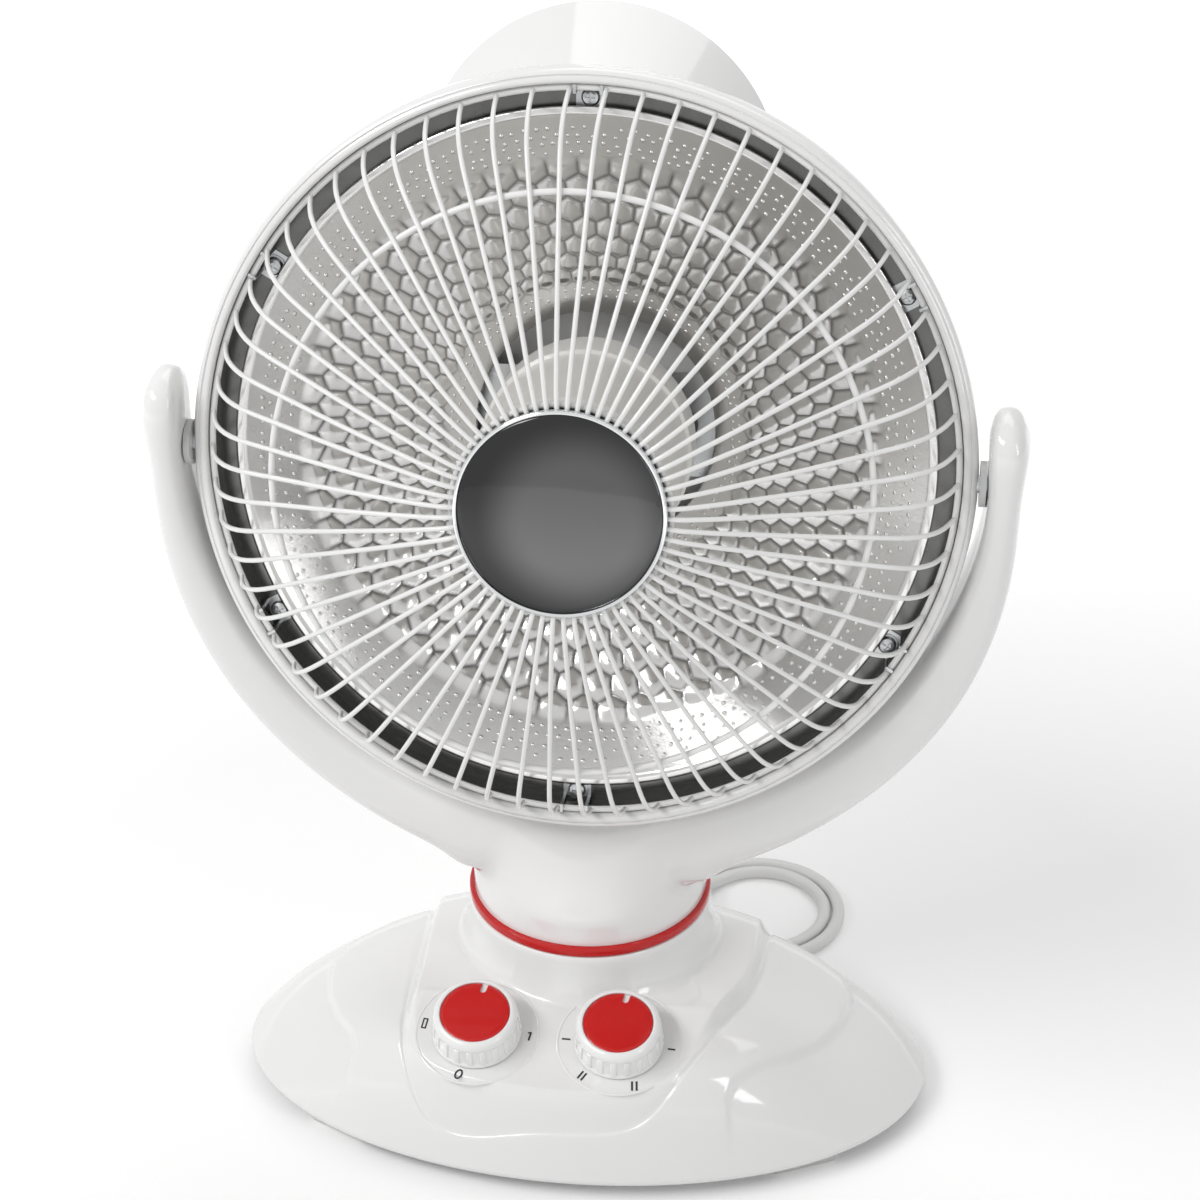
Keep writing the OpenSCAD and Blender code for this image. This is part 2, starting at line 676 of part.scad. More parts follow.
section_n = 9;
function section_r(a, inset, angle) = let (
    mid = yoke_inner_r + (outer_r(a) - yoke_inner_r) / 2,
    half = ((outer_r(a) - yoke_inner_r) / 2 - inset) * tip_share(a),
    c = cos(angle))
    mid + half * sign(c) * pow(abs(c), c < 0 ? 0.45 : 0.8);
function section_depth(a, inset, angle) =
    (half_depth(a) - inset) * tip_share(a) * pow(abs(sin(angle)), 0.75);

// One edge-to-edge line of the yoke's front (way = 1) or rear (way = -1).
function arm_line(a, inset, way, flat) = [for (i = [0 : section_n - 1])
    let (angle = 180 - 180 * i / (section_n - 1),
        fold = a > 90 ? 180 - a : a,
        p = yoke_point(section_r(fold, inset, angle), fold,
            flat ? 0 : way * section_depth(fold, inset, angle)))
        a > 90 ? [-p.x, p.y, p.z] : p];

// The same line through the neck: it starts under the head, runs down the
// front face and ends on the neck's round wall, at angle turn round the
// swivel axis. Above the wall the face swells out to meet it.
neck_pull = [0, 0, 0.05, 0.2, 0.45, 0.75, 0.95];
function neck_line(turn, inset, way) = let (
    r = neck_r - inset,
    a = 90 - atan(neck_r * sin(turn) / yoke_drop),
    wall_depth = r * cos(turn),
    foot = [r * sin(turn), -way * wall_depth])
    concat([for (i = [0 : section_n - 3])
        let (angle = 180 - 180 * i / (section_n - 1),
            own = section_depth(a, inset, angle))
            yoke_point(section_r(a, inset, angle), a,
                way * (own + neck_pull[i] * max(0, wall_depth - own)))],
        [[foot.x, foot.y, neck_z + neck_wall_h], [foot.x, foot.y, neck_z]]);

arm_angles = [-tip_angle, -tip_angle + 0.6, -tip_angle + 2, -7, -3, 2, 8, 15, 23, 31, 39, 47,
    54, 60, foot_a - 10.4, foot_a - 6.4, foot_a - 3.4, foot_a - 1.4, foot_a];
neck_turns = [90, 78, 65, 50, 35, 18, 0];

function half_yoke_rings(way) = let (
    arm = [for (a = arm_angles) concat(arm_line(a, 0, way, false),
        reversed(arm_line(a, wall, way, a < -5)))],
    foot = [for (t = neck_turns) concat(neck_line(t, 0, way),
        reversed(neck_line(t, wall, way)))],
    right = concat(arm, foot),
    left = [for (i = [len(right) - 2 : -1 : 0])
        [for (p = right[i]) [-p.x, p.y, p.z]]])
    concat(right, left);

// Where the screws join the two shells, from the rear: bosses on both halves
// meet on the middle plane, seen by children with +Z towards the front.
yoke_screw_angles = [28, 58];
yoke_screw_seat = 14;
module at_yoke_screw(side, a) {
    p = yoke_point((yoke_inner_r + outer_r(a)) / 2, a, 0);
    translate([side * p.x, p.y, p.z]) rotate([90 + yoke_lean, 0, 0]) children();
}

hub_boss_h = 7;
hub_boss_r = neck_r - wall / 2 - hub_screw_at;
module half_yoke(way) {
    difference() {
        union() {
            skin(half_yoke_rings(way), turned = way < 0);
            for (a = way > 0 ? [230, 310] : [50, 130]) rotate([0, 0, a])
                translate([hub_screw_at, 0, neck_z + hub_t])
                    cylinder(r = hub_boss_r, h = hub_boss_h, $fn = 32);
            for (side = [-1, 1], a = yoke_screw_angles) at_yoke_screw(side, a)
                rotate([way > 0 ? 0 : 180, 0, 0])
                    cylinder(r = 4.6, h = half_depth(a) - 2.2, $fn = 32);
        }
        at_hub_screws() translate([0, 0, neck_z])
            cylinder(r = screw_r, h = hub_t + hub_boss_h - 0.8, $fn = 32);
        for (side = [-1, 1], a = yoke_screw_angles) at_yoke_screw(side, a) {
            translate([0, 0, -60]) cylinder(r = screw_r, h = 74, $fn = 32);
            translate([0, 0, -60 - yoke_screw_seat])
                cylinder(r = screw_head_r + 0.2, h = 60, $fn = 32);
        }
        translate([0, -pivot_forward, pivot_z]) rotate([0, 90, 0])
            cylinder(r = stud_r + running, h = 3 * yoke_inner_r, center = true, $fn = 48);
    }
}

module yoke_front() color(WHITE) half_yoke(1);
module yoke_rear() color(WHITE) half_yoke(-1);

module yoke_screws() color(STEEL) {
    for (side = [-1, 1], a = yoke_screw_angles) at_yoke_screw(side, a) {
        translate([0, 0, -yoke_screw_seat - 2]) cylinder(r = screw_head_r, h = 2, $fn = 32);
        translate([0, 0, -yoke_screw_seat - 1]) cylinder(r = screw_r, h = 26, $fn = 32);
    }
}

washer_r = 9;
washer_play = 0.5;
module pivot_washers() color([0.85, 0.85, 0.85]) {
    translate([0, -pivot_forward, pivot_z]) for (side = [-1, 1])
        rotate([0, side * 90, 0]) difference() {
            translate([0, 0, bezel_r + washer_play]) cylinder(r = washer_r,
                h = yoke_gap - 2 * washer_play, $fn = 48);
            cylinder(r = stud_r + running, h = 2 * bezel_r, $fn = 48);
        }
}

// ---------- head ----------

module head_frame() {
    translate([0, -pivot_forward, pivot_z]) rotate([90 - head_tilt, 0, 0]) children();
}

stud_in = bezel_in_r + 1;
module pivot_studs() color(STEEL) {
    head_frame() for (side = [-1, 1]) rotate([0, side * 90, 0])
        translate([0, 0, stud_in]) cylinder(r = stud_r, h = yoke_inner_r + 9 - stud_in, $fn = 48);
}

module pivot_clips() color(STEEL) {
    head_frame() for (side = [-1, 1]) rotate([0, side * 90, 0]) difference() {
        translate([0, 0, yoke_inner_r + wall + 0.5]) cylinder(r = stud_r + 2.4, h = 1.6, $fn = 48);
        cylinder(r = stud_r, h = 2 * yoke_inner_r, $fn = 48);
    }
}

bowl_rim_r = bezel_r - 1.5;
bowl_rim_z = -9;
bowl_back_r = 44;
bowl_hole_r = 24;
bowl_wall = 2.2;
function bowl_point(t, inset) = [
    bowl_back_r + (bowl_rim_r - bowl_back_r) * pow(cos(t), 0.9) - inset * cos(t),
    bowl_rim_z - (bowl_depth + bowl_rim_z) * sin(t) + inset * sin(t)];
bowl_steps = [for (k = [0 : 10]) 9 * k];

ring_floor_z = -9.6;
boss_r = 4.2;
bracket_screw_x = 50;

module bowl_profile(inset) {
    polygon(concat([[0, bowl_rim_z], [bowl_rim_r - inset, bowl_rim_z]],
        [for (t = bowl_steps) bowl_point(t, inset)],
        [[0, bowl_point(90, inset).y]]));
}

module at_guard_screws() {
    for (k = [0 : guard_screws_n - 1]) rotate([0, 0, 360 * k / guard_screws_n])
        translate([0, guard_screw_r, 0]) children();
}

rim_t = 2.4;
bracket_z = -bowl_depth + 10.3;
bracket_t = 1.2;
module housing() color(WHITE) {
    head_frame() difference() {
        union() {
            difference() {
                rotate_extrude() bowl_profile(0);
                rotate_extrude() bowl_profile(bowl_wall);
                translate([0, 0, bowl_rim_z - 1]) cylinder(r = bowl_rim_r - bowl_wall, h = 2);
            }
            translate([0, 0, bowl_rim_z]) difference() {
                cylinder(r = bowl_rim_r, h = rim_t);
                translate([0, 0, -1]) cylinder(r = bezel_in_r - 0.2, h = 5);
            }
            intersection() {
                union() {
                    at_guard_screws() translate([0, 0, -60])
                        cylinder(r = boss_r, h = 60 + ring_floor_z, $fn = 32);
                    for (side = [-1, 1]) translate([side * bracket_screw_x, 0, -bowl_depth])
                        cylinder(r = boss_r, h = bracket_z + bowl_depth, $fn = 32);
                }
                rotate_extrude() bowl_profile(bowl_wall / 2);
            }
        }
        translate([0, 0, -bowl_depth - 1]) cylinder(r = bowl_hole_r, h = 10);
        at_guard_screws() translate([0, 0, -24]) cylinder(r = screw_r, h = 20, $fn = 32);
        for (side = [-1, 1]) translate([side * bracket_screw_x, 0, bracket_z - 6])
            cylinder(r = screw_r, h = 9, $fn = 32);
    }
}

bezel_front = 5.2;
module bezel() color(WHITE) {
    head_frame() difference() {
        rotate_extrude() polygon([
            [bezel_in_r, bowl_rim_z + rim_t], [bezel_r - 0.4, bowl_rim_z + rim_t],
            [bezel_r, bowl_rim_z + rim_t + 1.4], [bezel_r, bezel_front - 2.8],
            [bezel_r - 0.8, bezel_front - 1.2], [bezel_r - 2, bezel_front - 0.5],
            [bezel_r - 2.4, bezel_front - 0.9], [bezel_r - 2.8, bezel_front - 0.3],
            [bezel_in_r + 1.4, bezel_front], [bezel_in_r + 0.3, bezel_front - 0.5],
            [bezel_in_r, bezel_front - 1.6]]);
        rotate([0, 90, 0]) cylinder(r = stud_r, h = 3 * bezel_r, center = true, $fn = 48);
    }
}

lower_bulge_r = 46;
lower_bulge = [0, -4, 14 - bowl_depth];
hood_face_z = -8;
hood_rim_drop = 8;
module hood_form(inset) {
    hull() {
        translate([0, hood_up, -hood_back]) intersection() {
            sphere(r = hood_r - inset, $fn = 32);
            mirror([0, 0, 1]) translate([-hood_r, -hood_r, inset - hood_face_z])
                cube([2 * hood_r, 2 * hood_r, 2 * hood_r]);
        }
        translate([0, hood_up - hood_rim_drop, 2 * hood_face_z])
            cylinder(r = hood_r - 15 - inset, h = 5, $fn = 40);
        translate(lower_bulge) sphere(r = lower_bulge_r - inset, $fn = 28);
    }
}

cover_seat_z = -bowl_depth - 22;
cover_screw_l = 20;
cover_boss_deep = 60;
cover_screw_spots = [[0, -24, 0], [-40, hood_up - 18, 0], [40, hood_up - 18, 0]];
module rear_cover() color(WHITE) {
    head_frame() difference() {
        hood_form(0);
        difference() {
            hood_form(wall);
            for (p = cover_screw_spots) translate([p.x, p.y, cover_seat_z - cover_boss_deep / 2])
                cylinder(r = 4.5, h = 1.5 * cover_boss_deep, $fn = 32);
        }
        rotate_extrude() bowl_profile(-gap);
        for (p = cover_screw_spots) {
            translate([p.x, p.y, cover_seat_z - cover_boss_deep])
                cylinder(r = screw_head_r + 0.4, h = cover_boss_deep, $fn = 32);
            translate([p.x, p.y, cover_seat_z - 1])
                cylinder(r = screw_r + 0.1, h = cover_boss_deep, $fn = 32);
        }
    }
}

module cover_screws() color(STEEL) {
    head_frame() for (p = cover_screw_spots) {
        translate([p.x, p.y, cover_seat_z - 2.2]) cylinder(r = screw_head_r, h = 2.2, $fn = 32);
        translate([p.x, p.y, cover_seat_z - 2]) cylinder(r = screw_r, h = cover_screw_l, $fn = 32);
    }
}

function reflector_z(r) = -reflector_back - reflector_depth
    * (reflector_r * reflector_r - r * r)
    / (reflector_r * reflector_r - reflector_hole_r * reflector_hole_r);
reflector_steps = [for (k = [0 : 14])
    reflector_hole_r + (reflector_r - reflector_hole_r) * k / 14];

module reflector() color(STEEL) {
    head_frame() rotate_extrude() polygon(concat(
        [for (r = reflector_steps) [r, reflector_z(r)]],
        [[reflector_r + 3, -reflector_back], [reflector_r + 3, -reflector_back - sheet_t]],
        reversed([for (r = reflector_steps) [r, reflector_z(r) - sheet_t]])));
}

ring_in_r = reflector_r + 1;
ring_out_r = bezel_in_r - 0.8;
module mounting_ring() color(DARK) {
    head_frame() difference() {
        rotate_extrude() polygon([
            [ring_in_r, ring_floor_z], [ring_out_r, ring_floor_z],
            [ring_out_r, -2.4], [ring_out_r - sheet_t, -2.4],
            [ring_out_r - sheet_t, ring_floor_z + sheet_t],
            [ring_in_r + sheet_t, ring_floor_z + sheet_t],
            [ring_in_r + sheet_t, -reflector_back - sheet_t],
            [ring_in_r, -reflector_back - sheet_t]]);
        at_guard_screws() translate([0, 0, -20]) cylinder(r = screw_r + 0.1, h = 20, $fn = 32);
    }
}

// ---------- guard ----------

guard_z = 1.5;
middle_z = 41;
badge_back_z = 66.8;
wire_end_z = badge_back_z - wire_d / 2 - 0.05;
wire_path = [[guard_r, 0, guard_z], [guard_r - 4.6, 0, 18], [guard_r - 14.6, 0, 33],
    [middle_ring_r, 0, middle_z], [mix(badge_r, middle_ring_r, 0.528), 0, 55],
    [badge_r + 3.4, 0, wire_end_z + 0.6], [badge_r - 1, 0, wire_end_z]];

module guard_wires() color(WHITE) {
    head_frame() for (k = [0 : wire_count - 1])
        rotate([0, 0, 90 + 360 * (k + 0.5) / wire_count]) tube(wire_path, wire_d / 2, 4);
}

module ring_wire(r, z) {
    translate([0, 0, z]) rotate_extrude($fn = 120) translate([r, 0])
        circle(r = ring_wire_d / 2, $fn = 24);
}

under_wire = (wire_d + ring_wire_d) / 2 - 0.2;
module guard_rings() color(WHITE) {
    head_frame() {
        ring_wire(guard_r, guard_z);
        ring_wire(middle_ring_r, middle_z - under_wire);
        ring_wire(badge_r + 1, wire_end_z - under_wire);
    }
}

clip_w = 11.4;
clip_t = 0.8;
clip_z = ring_floor_z + sheet_t;
clip_wall_r = guard_r - ring_wire_d / 2 - 0.2;
clip_lip_r = guard_r + 1.2;
clip_low_z = guard_z - ring_wire_d / 2 - 0.1;
clip_high_z = guard_z + ring_wire_d / 2 + 0.1;
// A strip under the screw whose two prongs grip the guard's outer ring.
module guard_clips() color(STEEL) {
    head_frame() at_guard_screws() difference() {
        rotate([90, 0, 90]) translate([-guard_screw_r, 0, -clip_w / 2]) linear_extrude(clip_w)
            polygon([[ring_in_r + 1.4, clip_z], [clip_wall_r, clip_z],
                [clip_wall_r, clip_low_z - clip_t], [clip_lip_r, clip_low_z - clip_t],
                [clip_lip_r, clip_low_z], [clip_wall_r, clip_low_z],
                [clip_wall_r, clip_high_z], [clip_lip_r, clip_high_z],
                [clip_lip_r, clip_high_z + clip_t], [clip_wall_r - clip_t, clip_high_z + clip_t],
                [clip_wall_r - clip_t, clip_z + clip_t], [ring_in_r + 1.4, clip_z + clip_t]]);
        translate([-clip_w / 2 + 1.2, 0, clip_z + clip_t]) cube([clip_w - 2.4, 20, 20]);
        translate([0, 0, clip_z - 1]) cylinder(r = screw_r + 0.1, h = 4, $fn = 32);
    }
}

washer_t = 0.7;
module guard_washers() color(STEEL) {
    head_frame() at_guard_screws() translate([0, 0, clip_z + clip_t]) difference() {
        cylinder(r = 4.2, h = washer_t, $fn = 32);
        translate([0, 0, -1]) cylinder(r = screw_r + 0.1, h = 4, $fn = 32);
    }
}

module guard_screws() color(STEEL) {
    head_frame() at_guard_screws() {
        translate([0, 0, -22]) cylinder(r = screw_r, h = 22 + clip_z + 2, $fn = 32);
        translate([0, 0, clip_z + clip_t + washer_t]) difference() {
            rotate_extrude($fn = 32) polygon([[0, 0], [3.6, 0], [3.6, 0.8],
                [2.9, 1.7], [1.6, 2.2], [0, 2.3]]);
            for (a = [0, 90]) rotate([0, 0, a]) translate([-2, -0.35, 1.2]) cube([4, 0.7, 3]);
        }
    }
}

hub_plate_t = 1.2;
hub_plate_z = wire_end_z - under_wire - ring_wire_d / 2 - hub_plate_t - 0.05;
badge_boss = badge_back_z - hub_plate_z - hub_plate_t;
module badge() color([0.08, 0.08, 0.09]) {
    head_frame() translate([0, 0, badge_back_z]) difference() {
        rotate_extrude() polygon([
            [0, -badge_boss], [5, -badge_boss], [5, 0], [badge_r - 1.8, 0],
            [badge_r - 1.8, 1.6], [badge_r - 4, 2], [30, 2.6], [20, 3.1], [10, 3.4], [0, 3.5]]);
        translate([0, 0, -badge_boss - 1]) cylinder(r = screw_r, h = badge_boss + 1, $fn = 32);
    }
}

module badge_rim() color(STEEL) {
    head_frame() translate([0, 0, badge_back_z]) rotate_extrude() polygon([
        [badge_r - 1.8, 0], [badge_r, 0], [badge_r, 1.4], [badge_r - 0.6, 2.2],
        [badge_r - 1.8, 2]]);
}

module hub_plate() color(STEEL) {
    head_frame() difference() {
        translate([0, 0, hub_plate_z]) cylinder(r = badge_r + 1.6, h = hub_plate_t);
        translate([0, 0, hub_plate_z - 1]) cylinder(r = screw_r + 0.1, h = 4, $fn = 32);
    }
}

module badge_screw() color(STEEL) {
    head_frame() translate([0, 0, hub_plate_z]) {
        translate([0, 0, -2]) cylinder(r = screw_head_r, h = 2, $fn = 32);
        translate([0, 0, -1]) cylinder(r = screw_r, h = badge_boss + 1.6, $fn = 32);
    }
}

// ---------- heating element ----------

drum_wall = 3;
drum_rear_z = -34;
drum_step_z = -12;
drum_front_z = hub_plate_z - 3.4;
core_r = 20;
core_front_z = 42;
core_foot = 3.4;
module ceramic_drum() color([0.95, 0.94, 0.92]) {
    head_frame() rotate_extrude() polygon([
        [core_r + 1.2, drum_rear_z], [drum_r + 1, drum_rear_z],
        [drum_r + 1.4, drum_rear_z + 1], [drum_r + 1.4, drum_step_z - 0.8],
        [drum_r, drum_step_z], [drum_r, drum_front_z - 5],
        [drum_r - 1.5, drum_front_z - 1.5], [drum_r - 5, drum_front_z],
        [0, drum_front_z], [0, drum_front_z - drum_wall],
        [drum_r - 6, drum_front_z - drum_wall], [drum_r - drum_wall, drum_front_z - 7],
        [drum_r - drum_wall, drum_rear_z + drum_wall], [core_r + 1.2, drum_rear_z + drum_wall]]);
}

module element_core() color([0.9, 0.88, 0.83]) {
    head_frame() {
        translate([0, 0, drum_rear_z - core_foot]) cylinder(r = core_r + 4, h = core_foot);
        translate([0, 0, drum_rear_z - 0.4]) cylinder(r = core_r, h = core_front_z - drum_rear_z);
    }
}

coil_wire_r = 1.2;
coil_sides = 4;
// Wide enough that its straight chords clear the core.
heating_r = (core_r + coil_wire_r + 0.05) / cos(15);
function heating_point(t) = let (a = 360 * coil_turns * t)
    [heating_r * cos(a), heating_r * sin(a), mix(drum_rear_z + 8, core_front_z - 6, t)];
module heating_coil() color([0.5, 0.42, 0.36]) {
    steps = coil_turns * 12;
    head_frame() tube([for (k = [0 : steps]) heating_point(k / steps)], coil_wire_r, coil_sides);
}

socket_r = 17;
socket_low_z = -bowl_depth - 6;
module socket() color([0.93, 0.92, 0.9]) {
    head_frame() {
        translate([0, 0, socket_low_z])
            cylinder(r = socket_r, h = drum_rear_z - core_foot - socket_low_z);
        translate([0, 0, bracket_z + bracket_t]) cylinder(r = socket_r + 4, h = 3);
    }
}

bracket_end = 7;
bracket_w = 44;
module socket_bracket() color(STEEL) {
    head_frame() difference() {
        translate([0, 0, bracket_z]) linear_extrude(bracket_t)
            square([2 * (bracket_screw_x + bracket_end), bracket_w], center = true);
        translate([0, 0, bracket_z - 1]) cylinder(r = socket_r + 0.2, h = 4);
        for (side = [-1, 1]) translate([side * bracket_screw_x, 0, bracket_z - 1])
            cylinder(r = screw_r + 0.1, h = 4, $fn = 32);
    }
}

module socket_screws() color(STEEL) {
    head_frame() for (side = [-1, 1]) translate([side * bracket_screw_x, 0, bracket_z]) {
        translate([0, 0, bracket_t]) cylinder(r = screw_head_r, h = 2, $fn = 32);
        translate([0, 0, -6]) cylinder(r = screw_r, h = 8, $fn = 32);
    }
}

module terminal_block() color([0.9, 0.9, 0.86]) {
    head_frame() translate([0, hood_up - 18, -bowl_depth - 18]) linear_extrude(14)
        square([38, 18], center = true);
}

module thermal_cutout() color([0.2, 0.2, 0.22]) {
    head_frame() translate([34, 0, bracket_z + bracket_t]) cylinder(r = 7, h = 8, $fn = 48);
}

base_shell();
base_plate();
feet();
base_screws();
ballast();
tip_switch();
left_switch();
right_switch();
swing_motor();
thrust_washer();
cord_gland();
power_cord();
cord_coil();
cord_tie();
plug();
plug_pins();
left_knob();
left_cap();
right_knob();
right_cap();
swing_crank();
swivel_hub();
retaining_ring();
hub_screws();
accent_ring();
swing_arm();
yoke_front();
yoke_rear();
yoke_screws();
pivot_washers();
pivot_studs();
pivot_clips();
housing();
bezel();
rear_cover();
cover_screws();
reflector();
mounting_ring();
guard_wires();
guard_rings();
guard_clips();
guard_washers();
guard_screws();
badge();
badge_rim();
hub_plate();
badge_screw();
ceramic_drum();
element_core();
heating_coil();
socket();
socket_bracket();
socket_screws();
terminal_block();
thermal_cutout();
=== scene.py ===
# Parabolic heater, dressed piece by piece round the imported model, in metres.
import math
import random

import bpy
from mathutils import Matrix, Vector


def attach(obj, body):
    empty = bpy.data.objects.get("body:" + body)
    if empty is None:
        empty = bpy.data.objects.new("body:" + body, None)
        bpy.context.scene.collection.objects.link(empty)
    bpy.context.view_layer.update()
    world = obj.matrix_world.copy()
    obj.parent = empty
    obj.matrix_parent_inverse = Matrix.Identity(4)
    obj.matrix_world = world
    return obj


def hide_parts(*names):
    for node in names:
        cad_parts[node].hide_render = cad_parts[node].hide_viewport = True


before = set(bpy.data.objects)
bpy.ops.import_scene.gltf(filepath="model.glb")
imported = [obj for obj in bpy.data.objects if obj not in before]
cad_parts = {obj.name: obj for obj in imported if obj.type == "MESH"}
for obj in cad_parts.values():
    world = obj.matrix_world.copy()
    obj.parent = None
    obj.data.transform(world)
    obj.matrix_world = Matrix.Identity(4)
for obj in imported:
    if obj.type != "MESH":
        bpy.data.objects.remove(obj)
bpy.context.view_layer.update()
mm = 0.001

# Camera: the photograph looks down on the heater from a little to its right,
# from about 1.2 m, through a long lens. The picture is square.
camera_turn = math.radians(6.7)
camera_rise = math.radians(30)
to_camera = Vector((math.sin(camera_turn) * math.cos(camera_rise),
                    -math.cos(camera_turn) * math.cos(camera_rise),
                    math.sin(camera_rise)))
to_right = Vector((math.cos(camera_turn), math.sin(camera_turn), 0))
bpy.ops.object.camera_add()
camera = bpy.context.object
camera.name = "photo_camera"
camera.data.lens = 86.3
camera.location = Vector((0, 0, 0.2316)) + to_right * 0.0043 + to_camera * 1.1914
camera.rotation_euler = to_camera.to_track_quat("Z", "Y").to_euler()
bpy.context.scene.camera = camera

# Mains cord: a round 6 mm lead with a white rubber sheath. It leaves the
# gland, goes twice round the loop that shows behind the base, then winds
# into the coil behind the neck and ends in its moulded plug.
cord_radius = 3 * mm
cord_stops = [
    (35, 97, 14.9), (36.4, 106, 12.8), (39.5, 113, 9.6), (43, 119, 6),
    (47, 125.4, 3.6), (54, 132, 3.1), (63.5, 136.2, 3.1), (73.8, 136.8, 3.1),
    (84, 133.6, 3.1), (92.6, 127, 3.1), (98.4, 118, 3.1), (100.6, 107.4, 3.1),
    (99, 96.4, 3.1), (93.6, 86.4, 3.1), (85, 78.6, 3.1), (74.4, 74.4, 3.1),
    (63, 74.2, 3.1), (52, 77.8, 3.1), (42.6, 84.6, 3.1), (36.4, 94, 3.1),
    (33.8, 105, 3.1), (35, 116.4, 3.1), (39.6, 127, 3.1), (47.6, 135.8, 3.1),
    (58, 141.6, 3.1), (70, 143.6, 3.1), (82, 141.6, 3.1), (92.8, 136, 3.1),
    (101.2, 127.2, 3.1), (106.2, 116, 3.1), (107.4, 104, 3.1), (104.8, 92, 3.1),
    (98.6, 81.2, 3.1), (89.4, 73, 3.1), (78, 68.2, 3.1), (65.6, 67.4, 3.1),
    (53, 70.4, 3.1), (42, 75.4, 3.1), (30, 79.6, 3.2), (18, 81, 3.6),
    (6, 80.8, 4), (-4, 80.6, 4.2)]
coil_turns, coil_radius, coil_pitch = 5.25, 41.5, 6.5
coil_x, coil_y, coil_level = -17, 122, 4.2
stops_a_turn = 24
coil_stops = []
for k in range(int(stops_a_turn * coil_turns) + 1):
    t = k / stops_a_turn
    radius = coil_radius - coil_pitch * (coil_turns / 2 - abs(t - coil_turns / 2))
    climb = min(1, max(0, 2 * (t - coil_turns / 2) + 0.5))
    angle = math.radians(-90 - 360 * t)
    coil_stops.append((coil_x + radius * math.cos(angle), coil_y + radius * math.sin(angle),
                       coil_level + coil_pitch * climb * climb * (3 - 2 * climb)))
last_x, last_y, last_z = coil_stops[-1]
cord_stops += [(-11, 80.5, coil_level)] + coil_stops
cord_stops += [(last_x, last_y + away, last_z) for away in (6, 14, 22.1)]
bpy.ops.object.select_all(action="DESELECT")
bpy.ops.curve.primitive_bezier_curve_add()
cord = bpy.context.object
cord.name = "mains_cord"
cord.data.splines.clear()
line = cord.data.splines.new("BEZIER")
line.bezier_points.add(len(cord_stops) - 1)
for point, stop in zip(line.bezier_points, cord_stops):
    point.co = Vector(stop) * mm
    point.handle_left_type = point.handle_right_type = "AUTO"
cord.data.dimensions = "3D"
cord.data.resolution_u = 5
cord.data.bevel_depth = cord_radius
cord.data.bevel_resolution = 4
cord.data.use_fill_caps = True

# Fine unevenness that every moulded, painted or cast surface here has: a
# slow change of tone, small specks in the gloss, and a slight orange peel.
surface = bpy.data.node_groups.new("surface_grain", "ShaderNodeTree")
for label, kind, start in (("Colour", "NodeSocketColor", (0.8, 0.8, 0.8, 1)),
                           ("Tone", "NodeSocketFloat", 0.03),
                           ("Roughness", "NodeSocketFloat", 0.2),
                           ("Spread", "NodeSocketFloat", 0.05),
                           ("Scale", "NodeSocketFloat", 60.0)):
    socket = surface.interface.new_socket(name=label, in_out="INPUT", socket_type=kind)
    socket.default_value = start
for label, kind in (("Colour", "NodeSocketColor"), ("Roughness", "NodeSocketFloat"),
                    ("Height", "NodeSocketFloat")):
    surface.interface.new_socket(name=label, in_out="OUTPUT", socket_type=kind)


def feed(tree, socket, value):
    """Set a socket to a value, or link it to another node's socket."""
    if isinstance(value, bpy.types.NodeSocket):
        tree.links.new(value, socket)
    else:
        socket.default_value = value


def joined(tree, kind, **inputs):
    """A node of that kind; inputs go by their names, or n1, n2 for their numbers."""
    node = tree.nodes.new(kind)
    for name, value in inputs.items():
        numbered = name[0] == "n" and name[1:].isdigit()
        feed(tree, node.inputs[int(name[1:]) if numbered else name], value)
    return node


def maths(tree, operation, *values):
    """The result of a Math node on up to three values or sockets."""
    node = tree.nodes.new("ShaderNodeMath")
    node.operation = operation
    for socket, value in zip(node.inputs, (*values, 0.0, 0.0)):
        feed(tree, socket, value)
    return node.outputs[0]


inside = surface.nodes.new("NodeGroupInput").outputs
result = surface.nodes.new("NodeGroupOutput").inputs
place = surface.nodes.new("ShaderNodeTexCoord").outputs["Object"]
slow = joined(surface, "ShaderNodeTexNoise", Vector=place, Scale=14.0, Detail=3.0).outputs[0]
fine = joined(surface, "ShaderNodeTexNoise", Vector=place, Scale=inside["Scale"],
              Detail=6.0, Roughness=0.6).outputs[0]
peel = joined(surface, "ShaderNodeTexNoise", Vector=place,
              Scale=maths(surface, "MULTIPLY", inside["Scale"], 9.0), Detail=2.0).outputs[0]
darker = maths(surface, "MULTIPLY", maths(surface, "ADD", slow, fine), inside["Tone"])
tinted = joined(surface, "ShaderNodeHueSaturation", Color=inside["Colour"],
                Value=maths(surface, "SUBTRACT", 1.0, darker))
surface.links.new(tinted.outputs[0], result["Colour"])
lifted = maths(surface, "MULTIPLY", maths(surface, "SUBTRACT", fine, 0.5), inside["Spread"])
surface.links.new(maths(surface, "ADD", inside["Roughness"], lifted), result["Roughness"])
surface.links.new(maths(surface, "ADD", peel, maths(surface, "MULTIPLY", fine, 2.0)),
                  result["Height"])


